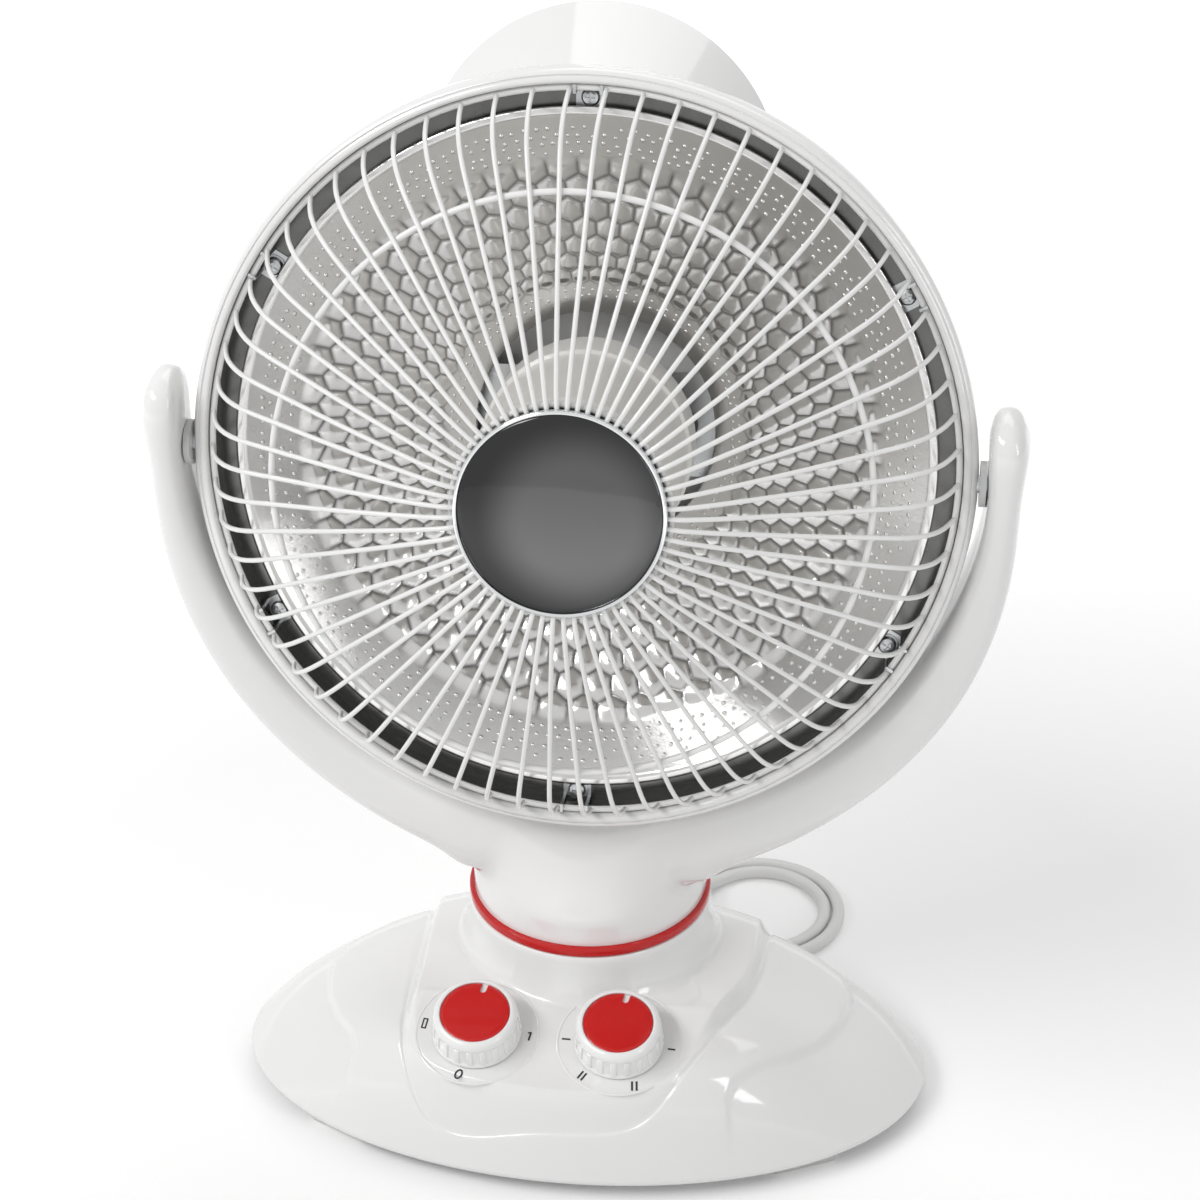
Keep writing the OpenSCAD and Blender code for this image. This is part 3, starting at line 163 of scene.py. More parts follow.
def finish(name, colour, roughness, tone=0.03, spread=0.06, scale=60.0, depth=0.02,
           metal=0.0, coat=0.0):
    """A material of this heater: the surface grain in one colour and gloss."""
    material = bpy.data.materials.new(name)
    material.use_nodes = True
    tree = material.node_tree
    shader = tree.nodes["Principled BSDF"]
    grain = tree.nodes.new("ShaderNodeGroup")
    grain.name = "grain"
    grain.node_tree = surface
    for label, value in (("Colour", (*colour, 1)), ("Tone", tone), ("Roughness", roughness),
                         ("Spread", spread), ("Scale", scale)):
        grain.inputs[label].default_value = value
    bump = joined(tree, "ShaderNodeBump", Height=grain.outputs["Height"],
                  Strength=depth, Distance=0.001)
    tree.links.new(grain.outputs["Colour"], shader.inputs["Base Color"])
    tree.links.new(grain.outputs["Roughness"], shader.inputs["Roughness"])
    tree.links.new(bump.outputs[0], shader.inputs["Normal"])
    shader.inputs["Metallic"].default_value = metal
    shader.inputs["Coat Weight"].default_value = coat
    shader.inputs["Coat Roughness"].default_value = 0.04
    return material


def dress(piece, material):
    """Give a modelled piece its one material."""
    piece.data.materials.clear()
    piece.data.materials.append(material)


def dress_node(material, *names):
    """Give CAD nodes that show as they are their material."""
    for name in names:
        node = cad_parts[name]
        if not node.material_slots:
            node.data.materials.append(material)
        for held in node.material_slots:
            held.material = material


sheath = finish("cord_sheath", (0.78, 0.78, 0.77), 0.38, scale=120.0, depth=0.05)
dress(cord, sheath)
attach(cord, "base")
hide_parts("power_cord", "cord_coil")
dress_node(sheath, "plug", "cord_gland")
dress_node(finish("plug_brass", (0.78, 0.66, 0.36), 0.28, metal=1.0), "plug_pins")
dress_node(finish("tie_plastic", (0.03, 0.03, 0.03), 0.5), "cord_tie")

# Studio: a white paper floor and a white world. The key lamp is a long soft
# strip above on the left, a narrow fill stands on the right, and a broad one
# hangs over the back. Camera, glossy and transmission rays see the background
# brighter than it lights the heater, and the paper fades to white outwards.
bpy.context.scene.view_settings.view_transform = "Standard"


def backdrop_rays(tree):
    """1 for the rays that show the background, 0 for those that light the heater."""
    path = tree.nodes.new("ShaderNodeLightPath").outputs
    straight = maths(tree, "MAXIMUM", path["Is Camera Ray"], path["Is Transmission Ray"])
    return maths(tree, "MAXIMUM", straight, path["Is Glossy Ray"])


bpy.ops.object.select_all(action="DESELECT")
bpy.ops.mesh.primitive_plane_add(size=8)
floor = bpy.context.object
floor.name = "studio_floor"
paper = bpy.data.materials.new("floor_paper")
paper.use_nodes = True
tree = paper.node_tree
shader = tree.nodes["Principled BSDF"]
shader.inputs["Roughness"].default_value = 0.9
grit = joined(tree, "ShaderNodeTexNoise", Scale=3.0).outputs[0]
shade = joined(tree, "ShaderNodeMapRange", Value=grit, n3=0.9, n4=0.92).outputs[0]
tree.links.new(shade, shader.inputs["Base Color"])
reach = joined(tree, "ShaderNodeVectorMath",
               n0=tree.nodes.new("ShaderNodeTexCoord").outputs["Object"])
reach.operation = "LENGTH"
glow = joined(tree, "ShaderNodeMapRange", Value=reach.outputs["Value"], n1=0.3, n2=1.4,
              n3=0.14, n4=0.8)
shader.inputs["Emission Color"].default_value = (1, 1, 1, 1)
tree.links.new(maths(tree, "MULTIPLY", backdrop_rays(tree), glow.outputs[0]),
               shader.inputs["Emission Strength"])
dress(floor, paper)
world = bpy.data.worlds.new("studio_world")
bpy.context.scene.world = world
world.use_nodes = True
tree = world.node_tree
sky = tree.nodes["Background"]
sky.inputs["Color"].default_value = (1, 1, 1, 1)
sky_light = 0.42
tree.links.new(maths(tree, "MULTIPLY_ADD", backdrop_rays(tree), 1 - sky_light, sky_light),
               sky.inputs["Strength"])
lamp_aim = Vector((0, 0, 0.2))
for label, spot, size, power in (("key_lamp", (-1.3, -1.0, 1.7), (1.7, 0.45), 27),
                                 ("fill_lamp", (1.5, -1.2, 0.9), (0.3, 1.0), 5),
                                 ("top_lamp", (0.3, 0.9, 1.8), (1.5, 1.3), 8)):
    bpy.ops.object.light_add(type="AREA", location=spot)
    lamp = bpy.context.object
    lamp.name = label
    lamp.data.shape = "RECTANGLE"
    lamp.data.size, lamp.data.size_y = size
    lamp.data.energy = power
    lamp.rotation_euler = (Vector(spot) - lamp_aim).to_track_quat("Z", "Y").to_euler()

# Base shell: one glossy white moulding, a low dome with a raised plinth for
# the knobs, a crisp S-shaped step on each side, and a flared collar on top.
half_width, half_depth, centre_back = 151.0, 90.0, -16.0
rim_height, dome_height = 10.5, 50.5
lip_height = 6.5
plateau, panel_slope, panel_bend = 66.0, math.tan(math.radians(18)), 54.0
front_rim = half_depth - centre_back
panel_corners = [(-72, 28 - front_rim), (-64, 13 - front_rim), (-45, 5.5 - front_rim),
                 (-10, 2.5 - front_rim), (22, 3.5 - front_rim), (40, 8.5 - front_rim),
                 (51, 20 - front_rim), (78, -20), (78, 60), (-76, 60)]
panel_bevel, corner_blend = 5.0, 3.0
panel_lift, panel_merge = 5.5, 25
seam_depth, seam_width, seam_away = 0.9, 0.8, 0.7
step_height, step_run, step_reach = 2.2, 2.6, 28
flare_foot, collar_radius, collar_top = 60.0, 52.8, 86.9
step_lines = (
    [(-64, 34), (-92, 20), (-110, 4), (-115, -14), (-112, -32), (-104, -50),
     (-96, -62), (-93, -70), (-95, -76), (-101, -80)],
    [(66, 44), (96, 28), (113, 10), (117, -8), (113, -28), (105, -44), (93, -60),
     (80, -72), (71, -81), (68, -87), (70, -92)])


def eased(t):
    """A soft rise from 0 to 1."""
    t = min(1.0, max(0.0, t))
    return t * t * (3 - 2 * t)


def ramp(t, rounded=0.3):
    """A straight rise from 0 to 1 whose two ends are rounded off."""
    t = min(1.0, max(0.0, t))
    if t < rounded:
        return t * t / (2 * rounded * (1 - rounded))
    if t > 1 - rounded:
        return 1 - (1 - t) ** 2 / (2 * rounded * (1 - rounded))
    return (t - rounded / 2) / (1 - rounded)


def panel_depth(x, y):
    """How far inside the panel's outline a point lies, in mm, its corners blended."""
    depths = []
    for (ax, ay), (bx, by) in zip(panel_corners, panel_corners[1:] + panel_corners[:1]):
        length = math.hypot(bx - ax, by - ay)
        depths.append(((bx - ax) * (y - ay) - (by - ay) * (x - ax)) / length)
    nearest = min(depths)
    near = sum(math.exp((nearest - depth) / corner_blend) for depth in depths)
    return nearest - corner_blend * math.log(near)


def step_side(x, y, line):
    """Distance from a step line, positive on its outer side, in mm."""
    outer_way = 1 if line[0][0] < 0 else -1
    best, side = 1e9, 1.0
    for (ax, ay), (bx, by) in zip(line, line[1:]):
        run = (bx - ax) ** 2 + (by - ay) ** 2
        t = min(1.0, max(0.0, ((x - ax) * (bx - ax) + (y - ay) * (by - ay)) / run))
        dx, dy = x - ax - t * (bx - ax), y - ay - t * (by - ay)
        away = math.hypot(dx, dy)
        if away < best:
            best = away
            side = math.copysign(1.0, ((bx - ax) * dy - (by - ay) * dx) * outer_way)
    return -best * side


def base_height(x, y):
    """Height of the base's skin over the floor, in mm: the dome with its steps,
    fullest at the front, and the panel, which slopes and then meets the dome."""
    vx, vy = x / half_width, (y - centre_back) / half_depth
    reach = math.hypot(vx, vy)
    power = 3.5 + 14 * max(0.0, -vy / max(0.01, reach)) ** 4
    dome = rim_height + dome_height * (1 - min(1.0, reach) ** power)
    for line in step_lines:
        away = step_side(x, y, line)
        fade = 1 - eased(abs(away) / step_reach)
        dome += step_height * fade * (0.5 - ramp(0.5 + away / step_run)) \
            * eased((1 - reach) * 14)
    top = min(plateau, plateau + (y + panel_bend) * panel_slope)
    along = eased((y + panel_bend) / panel_merge)
    top += (min(plateau, dome + panel_lift) - top) * along
    depth = panel_depth(x, y)
    steep = dome_height * power * min(1.0, reach) ** (power - 1) \
        / math.hypot(x, y - centre_back) * reach
    seam = seam_depth * math.hypot(1, steep) \
        * math.exp(-((depth + seam_away) / seam_width) ** 2)
    return dome + ramp(depth / panel_bevel) * (top - dome) - seam * eased((1 - reach) * 60)


def edge_of_panel(inner, outer, depth):
    """The share of the way out at which a spoke is that deep in the panel."""
    low, high = 0.0, 1.0
    for _ in range(14):
        mid = (low + high) / 2
        x, y = (a + (b - a) * mid for a, b in zip(inner, outer))
        low, high = (mid, high) if panel_depth(x, y) > depth else (low, mid)
    return (low + high) / 2


def wrapped_sheet(name, columns, rows, place):
    """A flat sheet bent so that its point at column c and row r comes to
    place[r][c]; neighbouring edges that meet are welded."""
    bpy.ops.object.select_all(action="DESELECT")
    bpy.ops.mesh.primitive_grid_add(x_subdivisions=columns - 1, y_subdivisions=rows - 1, size=1)
    piece = bpy.context.object
    piece.name = piece.data.name = name
    for vertex in piece.data.vertices:
        c = round((vertex.co.x + 0.5) * (columns - 1))
        r = round((vertex.co.y + 0.5) * (rows - 1))
        vertex.co = Vector(place[r][c]) * mm
    bpy.ops.object.mode_set(mode="EDIT")
    bpy.ops.mesh.select_all(action="SELECT")
    bpy.ops.mesh.remove_doubles(threshold=1e-6)
    bpy.ops.mesh.normals_make_consistent(inside=False)
    bpy.ops.object.mode_set(mode="OBJECT")
    bpy.ops.object.shade_smooth()
    return piece


base_columns = 721
dome_rows, bevel_rows, plateau_rows, flare_rows = 62, 12, 14, 10
flare_top = 77
spokes = []
for k in range(base_columns):
    angle = 2 * math.pi * k / (base_columns - 1)
    ca, sa = math.cos(angle), math.sin(angle)
    inner = (flare_foot * ca, flare_foot * sa)
    outer = (half_width * ca, half_depth * sa + centre_back)
    bevel = [edge_of_panel(inner, outer, d) for d in (0.0, panel_bevel)]
    shares = [1 - (1 - bevel[0]) * (n / dome_rows) ** 1.2 for n in range(dome_rows + 1)]
    shares += [bevel[0] + (bevel[1] - bevel[0]) * n / bevel_rows
               for n in range(1, bevel_rows + 1)]
    shares += [bevel[1] * (1 - n / plateau_rows) for n in range(1, plateau_rows + 1)]
    points = [((half_width - inset) * ca, (half_depth - inset) * sa + centre_back,
               lip_height + lift)
              for inset, lift in ((6, 2.4), (5.2, 0.2), (3, 0), (1.1, 1.2), (0.2, 2.8))]
    for share in shares:
        x, y = (a + (b - a) * share for a, b in zip(inner, outer))
        points.append((x, y, base_height(x, y)))
    foot = points[-1][2]
    for n in range(1, flare_rows + 1):
        radius = flare_foot + (collar_radius + 0.6 - flare_foot) * n / flare_rows
        points.append((radius * ca, radius * sa,
                       foot + (flare_top - foot) * (n / flare_rows) ** 2.6))
    points += [(radius * ca, radius * sa, height) for radius, height in (
        (collar_radius + 0.2, 80), (collar_radius, 83.5), (collar_radius, 86.2),
        (collar_radius - 0.3, 86.7), (collar_radius - 1, collar_top), (22.4, collar_top))]
    spokes.append(points)
base_rows = len(spokes[0])
base = wrapped_sheet("base_moulding", base_columns, base_rows,
                     [[spoke[r] for spoke in spokes] for r in range(base_rows)])
white = finish("white_plastic", (0.835, 0.832, 0.828), 0.11, tone=0.015, spread=0.04,
               scale=40.0, depth=0.004, coat=0.5)
dress(base, white)
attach(base, "base")
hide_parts("base_shell")
dress_node(finish("under_plastic", (0.05, 0.05, 0.055), 0.5), "base_plate", "tip_switch",
           "left_switch", "right_switch", "thermal_cutout")

# Feet: four grey rubber pads with rounded edges, glued under the rim of the
# base and turned to follow it.
foot_size, foot_rounding, foot_middle = (28.5, 18.5, 6.7), 1.4, 3.4
foot_places = ((-97.85, -66.4, -26), (97.85, -66.4, 26), (-104.04, 20.81, 26),
               (104.04, 20.81, -26))


def rounded_block(size, rounding, segments):
    """A block of that size in mm with all its edges rounded."""
    bpy.ops.object.select_all(action="DESELECT")
    bpy.ops.mesh.primitive_cube_add(size=1)
    block = bpy.context.object
    block.data.transform(Matrix.Diagonal((*(Vector(size) * mm), 1)))
    rounder = block.modifiers.new("round", "BEVEL")
    rounder.width = rounding * mm
    rounder.segments = segments
    bpy.ops.object.modifier_apply(modifier=rounder.name)
    bpy.ops.object.shade_smooth_by_angle(angle=math.radians(35))
    return block


def made_one(parts, name):
    """Join the parts into the first of them and name the whole."""
    bpy.ops.object.select_all(action="DESELECT")
    for part in parts:
        part.select_set(True)
    bpy.context.view_layer.objects.active = parts[0]
    bpy.ops.object.join()
    whole = bpy.context.object
    whole.name = whole.data.name = name
    return whole


pads = []
for across, along, turn in foot_places:
    pad = rounded_block(foot_size, foot_rounding, 4)
    pad.data.transform(Matrix.Translation(Vector((across, along, foot_middle)) * mm)
                       @ Matrix.Rotation(math.radians(turn), 4, "Z"))
    pads.append(pad)
feet = made_one(pads, "foot_pads")
dress(feet, finish("foot_rubber", (0.62, 0.62, 0.61), 0.5, depth=0.08))
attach(feet, "base")
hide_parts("feet")

# Fasteners and inner parts: screws, clips, studs, motor case and brackets of
# zinc-plated steel, a cast iron ballast plate, and nylon where parts rub.
steel = finish("zinc_steel", (0.56, 0.57, 0.58), 0.3, tone=0.1, spread=0.2, scale=150.0,
               metal=1.0)
dress_node(steel, "base_screws", "swing_motor", "retaining_ring", "hub_screws", "swing_arm",
           "yoke_screws", "pivot_studs", "pivot_clips", "cover_screws", "hub_plate",
           "badge_screw", "socket_bracket", "socket_screws", "guard_clips", "guard_washers",
           "guard_screws")
dress_node(finish("ballast_iron", (0.2, 0.2, 0.21), 0.7, tone=0.2, depth=0.3, metal=1.0),
           "ballast")
dress_node(finish("pale_nylon", (0.75, 0.73, 0.66), 0.45), "thrust_washer", "swing_crank",
           "terminal_block")
dress_node(finish("washer_grey", (0.6, 0.6, 0.6), 0.3), "pivot_washers")

# Dials: each knob is a glossy white moulding with a ribbed skirt and a round
# rim, pressed on its switch shaft, and holds a red cap with a white notch. A
# fine raised ring and printed marks surround it on the panel.
knob_row = 73.0
knob_places = {"left": -39.5, "right": 21.0}
knob_lean = math.radians(18)
knob_rest = math.radians(-10)
panel_level = plateau - (knob_row - panel_bend) * panel_slope


def turned_piece(name, outline, steps, seat=None):
    """An outline of (radius, height) pairs in mm, traced from point to point,
    then spun round the upright axis and set on its seat."""
    bpy.ops.object.select_all(action="DESELECT")
    bpy.ops.mesh.primitive_plane_add(size=0.002)
    piece = bpy.context.object
    piece.name = piece.data.name = name
    bpy.ops.object.mode_set(mode="EDIT")
    bpy.ops.mesh.merge(type="CENTER")
    bpy.ops.transform.translate(value=(outline[0][0] * mm, 0, outline[0][1] * mm))
    for (ra, za), (rb, zb) in zip(outline, outline[1:]):
        bpy.ops.mesh.extrude_region_move(
            TRANSFORM_OT_translate={"value": ((rb - ra) * mm, 0, (zb - za) * mm)})
    bpy.ops.mesh.select_all(action="SELECT")
    bpy.ops.mesh.spin(steps=steps, angle=2 * math.pi, center=(0, 0, 0), axis=(0, 0, 1))
    bpy.ops.mesh.select_all(action="SELECT")
    bpy.ops.mesh.remove_doubles(threshold=2e-6)
    bpy.ops.mesh.normals_make_consistent(inside=False)
    bpy.ops.object.mode_set(mode="OBJECT")
    bpy.ops.object.shade_smooth_by_angle(angle=math.radians(35))
    if seat is not None:
        piece.data.transform(seat)
    return piece


knob_outline = [
    (3.1, 1.2), (5.5, 1.2), (5.5, 11), (13.5, 11), (15.6, 0.4), (18.7, 0.4), (19, 0.8),
    (19, 1.6), (18.8, 2.1), (18.4, 2.4), (18.2, 3.0), (17.9, 6.5), (17.6, 9.8),
    (17.75, 10.5), (17.95, 11.2), (17.9, 12.2), (17.6, 13.2), (17.0, 14.05), (16.3, 14.6),
    (15.6, 14.85), (15.2, 14.85), (14.9, 14.6), (14.85, 13.4), (3.1, 13.4), (3.1, 1.2)]
rib_count, rib_size, rib_rounding = 20, (2.4, 2.6, 8.2), 0.55
rib_place, rib_lean = (17.35, 0, 6.3), math.radians(-6)
dial_ring = 26.0
knob_white = finish("knob_plastic", (0.87, 0.87, 0.865), 0.2, tone=0.015, depth=0.006,
                    coat=0.3)
cap_red = finish("cap_red", (0.6, 0.004, 0.003), 0.16, tone=0.05, spread=0.04, depth=0.004,
                 coat=0.25)
cap_red.node_tree.nodes["Principled BSDF"].inputs["Specular IOR Level"].default_value = 0.3
print_black = finish("print_black", (0.02, 0.02, 0.022), 0.5, tone=0.1)


def printed(seat, strokes):
    """Flat bars of ink on the panel: middle, length and width in mm, and turn."""
    bars = []
    for across, along, length, width, turn in strokes:
        bpy.ops.object.select_all(action="DESELECT")
        bpy.ops.mesh.primitive_plane_add(size=1)
        bar = bpy.context.object
        bpy.ops.object.mode_set(mode="EDIT")
        bpy.ops.mesh.extrude_region_move(TRANSFORM_OT_translate={"value": (0, 0, 1)})
        bpy.ops.mesh.select_all(action="SELECT")
        bpy.ops.mesh.normals_make_consistent(inside=False)
        bpy.ops.object.mode_set(mode="OBJECT")
        shape = Matrix.Diagonal((length * mm, width * mm, 0.12 * mm, 1))
        place = Matrix.Translation(Vector((across, along, 0.02)) * mm)
        bar.data.transform(seat @ place @ Matrix.Rotation(math.radians(turn), 4, "Z") @ shape)
        bars.append(bar)
    return bars


def laid(across, along, turn, x, y):
    """Where point x, y of a printed figure comes to, turned about its middle."""
    t = math.radians(turn)
    return (across + x * math.cos(t) - y * math.sin(t),
            along + x * math.sin(t) + y * math.cos(t))


def hoop(across, along, half_wide, half_tall, turn):
    """The strokes of a closed oval figure."""
    strokes = []
    for k in range(20):
        a = 2 * math.pi * k / 20
        x, y = half_wide * math.cos(a), half_tall * math.sin(a)
        slant = math.degrees(math.atan2(half_tall * math.cos(a), -half_wide * math.sin(a)))
        strokes.append((*laid(across, along, turn, x, y), 1.0, 0.7, slant + turn))
    return strokes


def frame_mark(across, along, wide, tall, turn):
    """The strokes of an open upright rectangle."""
    strokes = []
    for x, y, length, lie in ((0, tall / 2, wide + 0.5, 0), (0, -tall / 2, wide + 0.5, 0),
                              (wide / 2, 0, tall, 90), (-wide / 2, 0, tall, 90)):
        strokes.append((*laid(across, along, turn, x, y), length, 0.6, lie + turn))
    return strokes


dial_marks = {
    "left": hoop(-4.8, -21.8, 1.3, 2.1, -18) + frame_mark(-22.8, 2.1, 1.6, 4.6, -6)
    + [(22.6, -0.6, 4.2, 0.8, 82), (22.2, 1.2, 1.3, 0.6, 20)],
    "right": [(-22.4, -0.6, 3.6, 0.75, 0), (22.4, -1.8, 3.2, 0.75, -4),
              (-14.4, -17.6, 4.2, 0.8, 60), (-12.9, -18.5, 4.2, 0.8, 60),
              (7.7, -21.2, 4.4, 0.85, 96), (9.6, -21.0, 4.4, 0.85, 96)]}
for side, across in knob_places.items():
    panel_seat = Matrix.Translation(Vector((across, -knob_row, panel_level)) * mm) \
        @ Matrix.Rotation(knob_lean, 4, "X")
    seat = panel_seat @ Matrix.Rotation(knob_rest, 4, "Z")
    knob = turned_piece(side + "_knob_moulding", knob_outline, 96, seat)
    ribs = []
    for k in range(rib_count):
        rib = rounded_block(rib_size, rib_rounding, 3)
        leaning = Matrix.Translation(Vector(rib_place) * mm) @ Matrix.Rotation(rib_lean, 4, "Y")
        around = Matrix.Rotation(2 * math.pi * (k + 0.5) / rib_count, 4, "Z")
        rib.data.transform(seat @ around @ leaning)
        ribs.append(rib)
    knob = made_one([knob, *ribs], side + "_knob_moulding")
    dress(knob, knob_white)
    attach(knob, side + "_dial")
    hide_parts(side + "_knob")
    cap = turned_piece(side + "_cap_disc", [
        (0, 14.95), (5, 14.9), (10, 14.75), (13, 14.6), (14.2, 14.45), (14.6, 14.2),
        (14.65, 13.6), (0, 13.6)], 96)
    bpy.ops.object.select_all(action="DESELECT")
    bpy.ops.mesh.primitive_cylinder_add(vertices=32, radius=1.35 * mm, depth=8 * mm,
                                        location=(0, 11.4 * mm, 14.5 * mm))
    notch = bpy.context.object
    bpy.ops.object.mode_set(mode="EDIT")
    bpy.ops.mesh.select_all(action="DESELECT")
    bpy.ops.object.mode_set(mode="OBJECT")
    for vertex in notch.data.vertices:
        if vertex.co.y > 0:
            vertex.co.y += 5 * mm
    cutter = cap.modifiers.new("notch", "BOOLEAN")
    cutter.object = notch
    cutter.solver = "EXACT"
    bpy.context.view_layer.objects.active = cap
    bpy.ops.object.modifier_apply(modifier=cutter.name)
    bpy.data.objects.remove(notch)
    cap.data.transform(seat)
    bpy.ops.object.select_all(action="DESELECT")
    cap.select_set(True)
    bpy.ops.object.shade_smooth_by_angle(angle=math.radians(35))
    dress(cap, cap_red)
    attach(cap, side + "_dial")
    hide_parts(side + "_cap")
    ring = turned_piece(side + "_dial_ring", [
        (dial_ring - 0.6, -0.2), (dial_ring - 0.45, 0.16), (dial_ring, 0.34),
        (dial_ring + 0.45, 0.16), (dial_ring + 0.6, -0.2), (dial_ring - 0.6, -0.2)],
        160, panel_seat)
    dress(ring, white)
    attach(ring, "base")
    marks = made_one(printed(panel_seat, dial_marks[side]), side + "_dial_marks")
    dress(marks, print_black)
    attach(marks, "base")

# Red accent ring: a glossy strip clipped round the swivel hub, between the
# base's collar and the neck. The hub itself is white.
ring_red = finish("ring_red", (0.55, 0.003, 0.003), 0.16, tone=0.04, depth=0.004, coat=0.25)
ring_red.node_tree.nodes["Principled BSDF"].inputs["Specular IOR Level"].default_value = 0.3
accent = turned_piece("accent_strip", [
    (46, 87.25), (52.2, 87.25), (52.65, 87.6), (52.8, 88.2), (52.8, 90.2), (52.65, 90.8),
    (52.2, 91.15), (46, 91.15), (46, 87.25)], 192)
dress(accent, ring_red)
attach(accent, "swivel")
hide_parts("accent_ring")
dress_node(white, "swivel_hub")

# Yoke: two glossy white mouldings, front and rear, that meet on the yoke's
# middle plane. They grow out of the round neck and sweep up to the pivots.
pivot = Vector((0, -25.3, 308.6))
yoke_inner, arm_thickness, neck_radius, neck_bottom = 158.5, 13.5, 51.0, 91.2
neck_wall, drop = 8.0, pivot.z - neck_bottom
lean = math.atan(-pivot.y / drop)
tip_angle, tip_round = -11.4, 5
tip_depth, depth_gain = 17, 16
neck_pull = [0, 0, 0.05, 0.2, 0.45, 0.75, 0.95]
foot_angle = 88.1 - math.degrees(math.atan(neck_radius / drop))


def yoke_outer(a):
    """Radius of the yoke's outer edge, a degrees down from the pivots."""
    swell = 0.0
    if a > 0:
        b = min(a, foot_angle)
        swell = 0.5 * b * b / (b + 8) - 3 * eased((b - 30) / 45) \
            + 5 * math.exp(-((b - foot_angle) / 2.2) ** 2)
    return yoke_inner + arm_thickness + 4 * math.exp(-((a + 8) / 5) ** 2) + swell


def yoke_point(radius, a, depth):
    """A place on the yoke, which leans back from the neck to the pivots."""
    a = math.radians(a)
    return (radius * math.cos(a),
            pivot.y + radius * math.sin(a) * math.sin(lean) - depth * math.cos(lean),
            pivot.z - radius * math.sin(a) * math.cos(lean) - depth * math.sin(lean))


def yoke_section(a, k):
    """Radius and depth of the k-th of nine stops across the yoke at angle a."""
    t = min(1.0, (a - tip_angle) / tip_round)
    share = math.sqrt(max(0.0, 1 - (1 - t) ** 2))
    middle = (yoke_inner + yoke_outer(a)) / 2
    half = (yoke_outer(a) - yoke_inner) / 2 * share
    angle = math.radians(180 - 22.5 * k)
    c = math.cos(angle)
    radius = middle + half * math.copysign(abs(c) ** (0.45 if c < -1e-9 else 0.8), c)
    if abs(c) < 1e-9:
        radius = middle
    depth = (tip_depth + depth_gain * eased((a + 10) / 100)) * share \
        * abs(math.sin(angle)) ** 0.75
    return radius, depth


def yoke_skin(a, k, way):
    """The k-th stop at angle a, on the front half (way 1) or the rear (-1)."""
    radius, depth = yoke_section(a, k)
    return yoke_point(radius, a, way * depth)


yoke_stops = [tip_angle, -11.2, -10.6, -9.4, -7, -3, 2, 8, 15, 23, 31, 39, 47, 54, 60,
              foot_angle - 10.4, foot_angle - 6.4, foot_angle - 3.4, foot_angle - 1.4,
              foot_angle]
neck_turns = [90, 78, 65, 50, 35, 18, 0]
for side, way in (("front", 1), ("rear", -1)):
    lines = [[yoke_skin(a, k, way) for k in range(9)] for a in yoke_stops]
    for turn in neck_turns:
        turn = math.radians(turn)
        a = 90 - math.degrees(math.atan(neck_radius * math.sin(turn) / drop))
        wall = neck_radius * math.cos(turn)
        line = []
        for k in range(7):
            radius, depth = yoke_section(a, k)
            depth += neck_pull[k] * max(0, wall - depth)
            line.append(yoke_point(radius, a, way * depth))
        foot = (neck_radius * math.sin(turn), -way * wall)
        if wall < 1:
            # One more row leads the arm's underside round to the halves' seam,
            # so that nothing pinches above the ring.
            upper = yoke_skin(foot_angle, 7, way)
            lines.append(line + [(neck_radius + 0.6, upper[1] * 0.55, neck_bottom + 12),
                                 (neck_radius + 0.9, 0, neck_bottom + 9)])
            foot = (neck_radius, -way * 4.0)
            lines.append(line + [(*foot, neck_bottom + neck_wall),
                                 (neck_radius, 0, neck_bottom)])
        else:
            lines.append(line + [(*foot, neck_bottom + neck_wall), (*foot, neck_bottom)])
    lines += [[(-x, y, z) for x, y, z in line] for line in reversed(lines[:-1])]
    half = wrapped_sheet("yoke_" + side + "_moulding", 9, len(lines), lines)
    # The lower corners stay sharp under the smoothing, so the halves meet there.
    corner = half.data.attributes.new("crease_vert", "FLOAT", "POINT")
    for vertex in half.data.vertices:
        at = vertex.co / mm
        on_seam = abs(at.y) < 0.01 and abs(abs(at.x) - neck_radius) < 0.01
        if on_seam and at.z < neck_bottom + 0.01:
            corner.data[vertex.index].value = 1.0
    rounder = half.modifiers.new("smooth", "SUBSURF")
    rounder.levels = rounder.render_levels = 3
    bpy.ops.object.modifier_apply(modifier=rounder.name)
    wall = half.modifiers.new("wall", "SOLIDIFY")
    wall.thickness = 2.4 * mm
    wall.offset = -1
    bpy.ops.object.modifier_apply(modifier=wall.name)
    bpy.ops.object.shade_smooth_by_angle(angle=math.radians(40))
    dress(half, white)
    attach(half, "swivel")
    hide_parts("yoke_" + side)

# Housing, bezel and hood: the enamelled bowl behind the reflector, the white
# band that closes its rim, and the moulded hood over the wiring at the back.
head_seat = Matrix.Translation(pivot * mm) @ Matrix.Rotation(math.radians(90 - 10.4), 4, "X")
enamel = finish("white_enamel", (0.84, 0.84, 0.84), 0.22, tone=0.02, depth=0.02, coat=0.2)
dress_node(enamel, "housing")
bezel = turned_piece("bezel_band", [
    (149.2, -6.5), (154.4, -6.5), (154.9, -6), (155, -5.2), (155, 1.4), (154.8, 2.6),
    (154.3, 3.7), (153.5, 4.4), (152.9, 4.6), (152.7, 4.15), (152.4, 4.1), (152.2, 4.6),
    (151.4, 5.1), (150.5, 5.2), (149.8, 4.9), (149.3, 4.2), (149.2, 3.2), (149.2, -6.5)],
    288, head_seat)
dress(bezel, white)
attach(bezel, "head")
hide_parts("bezel")

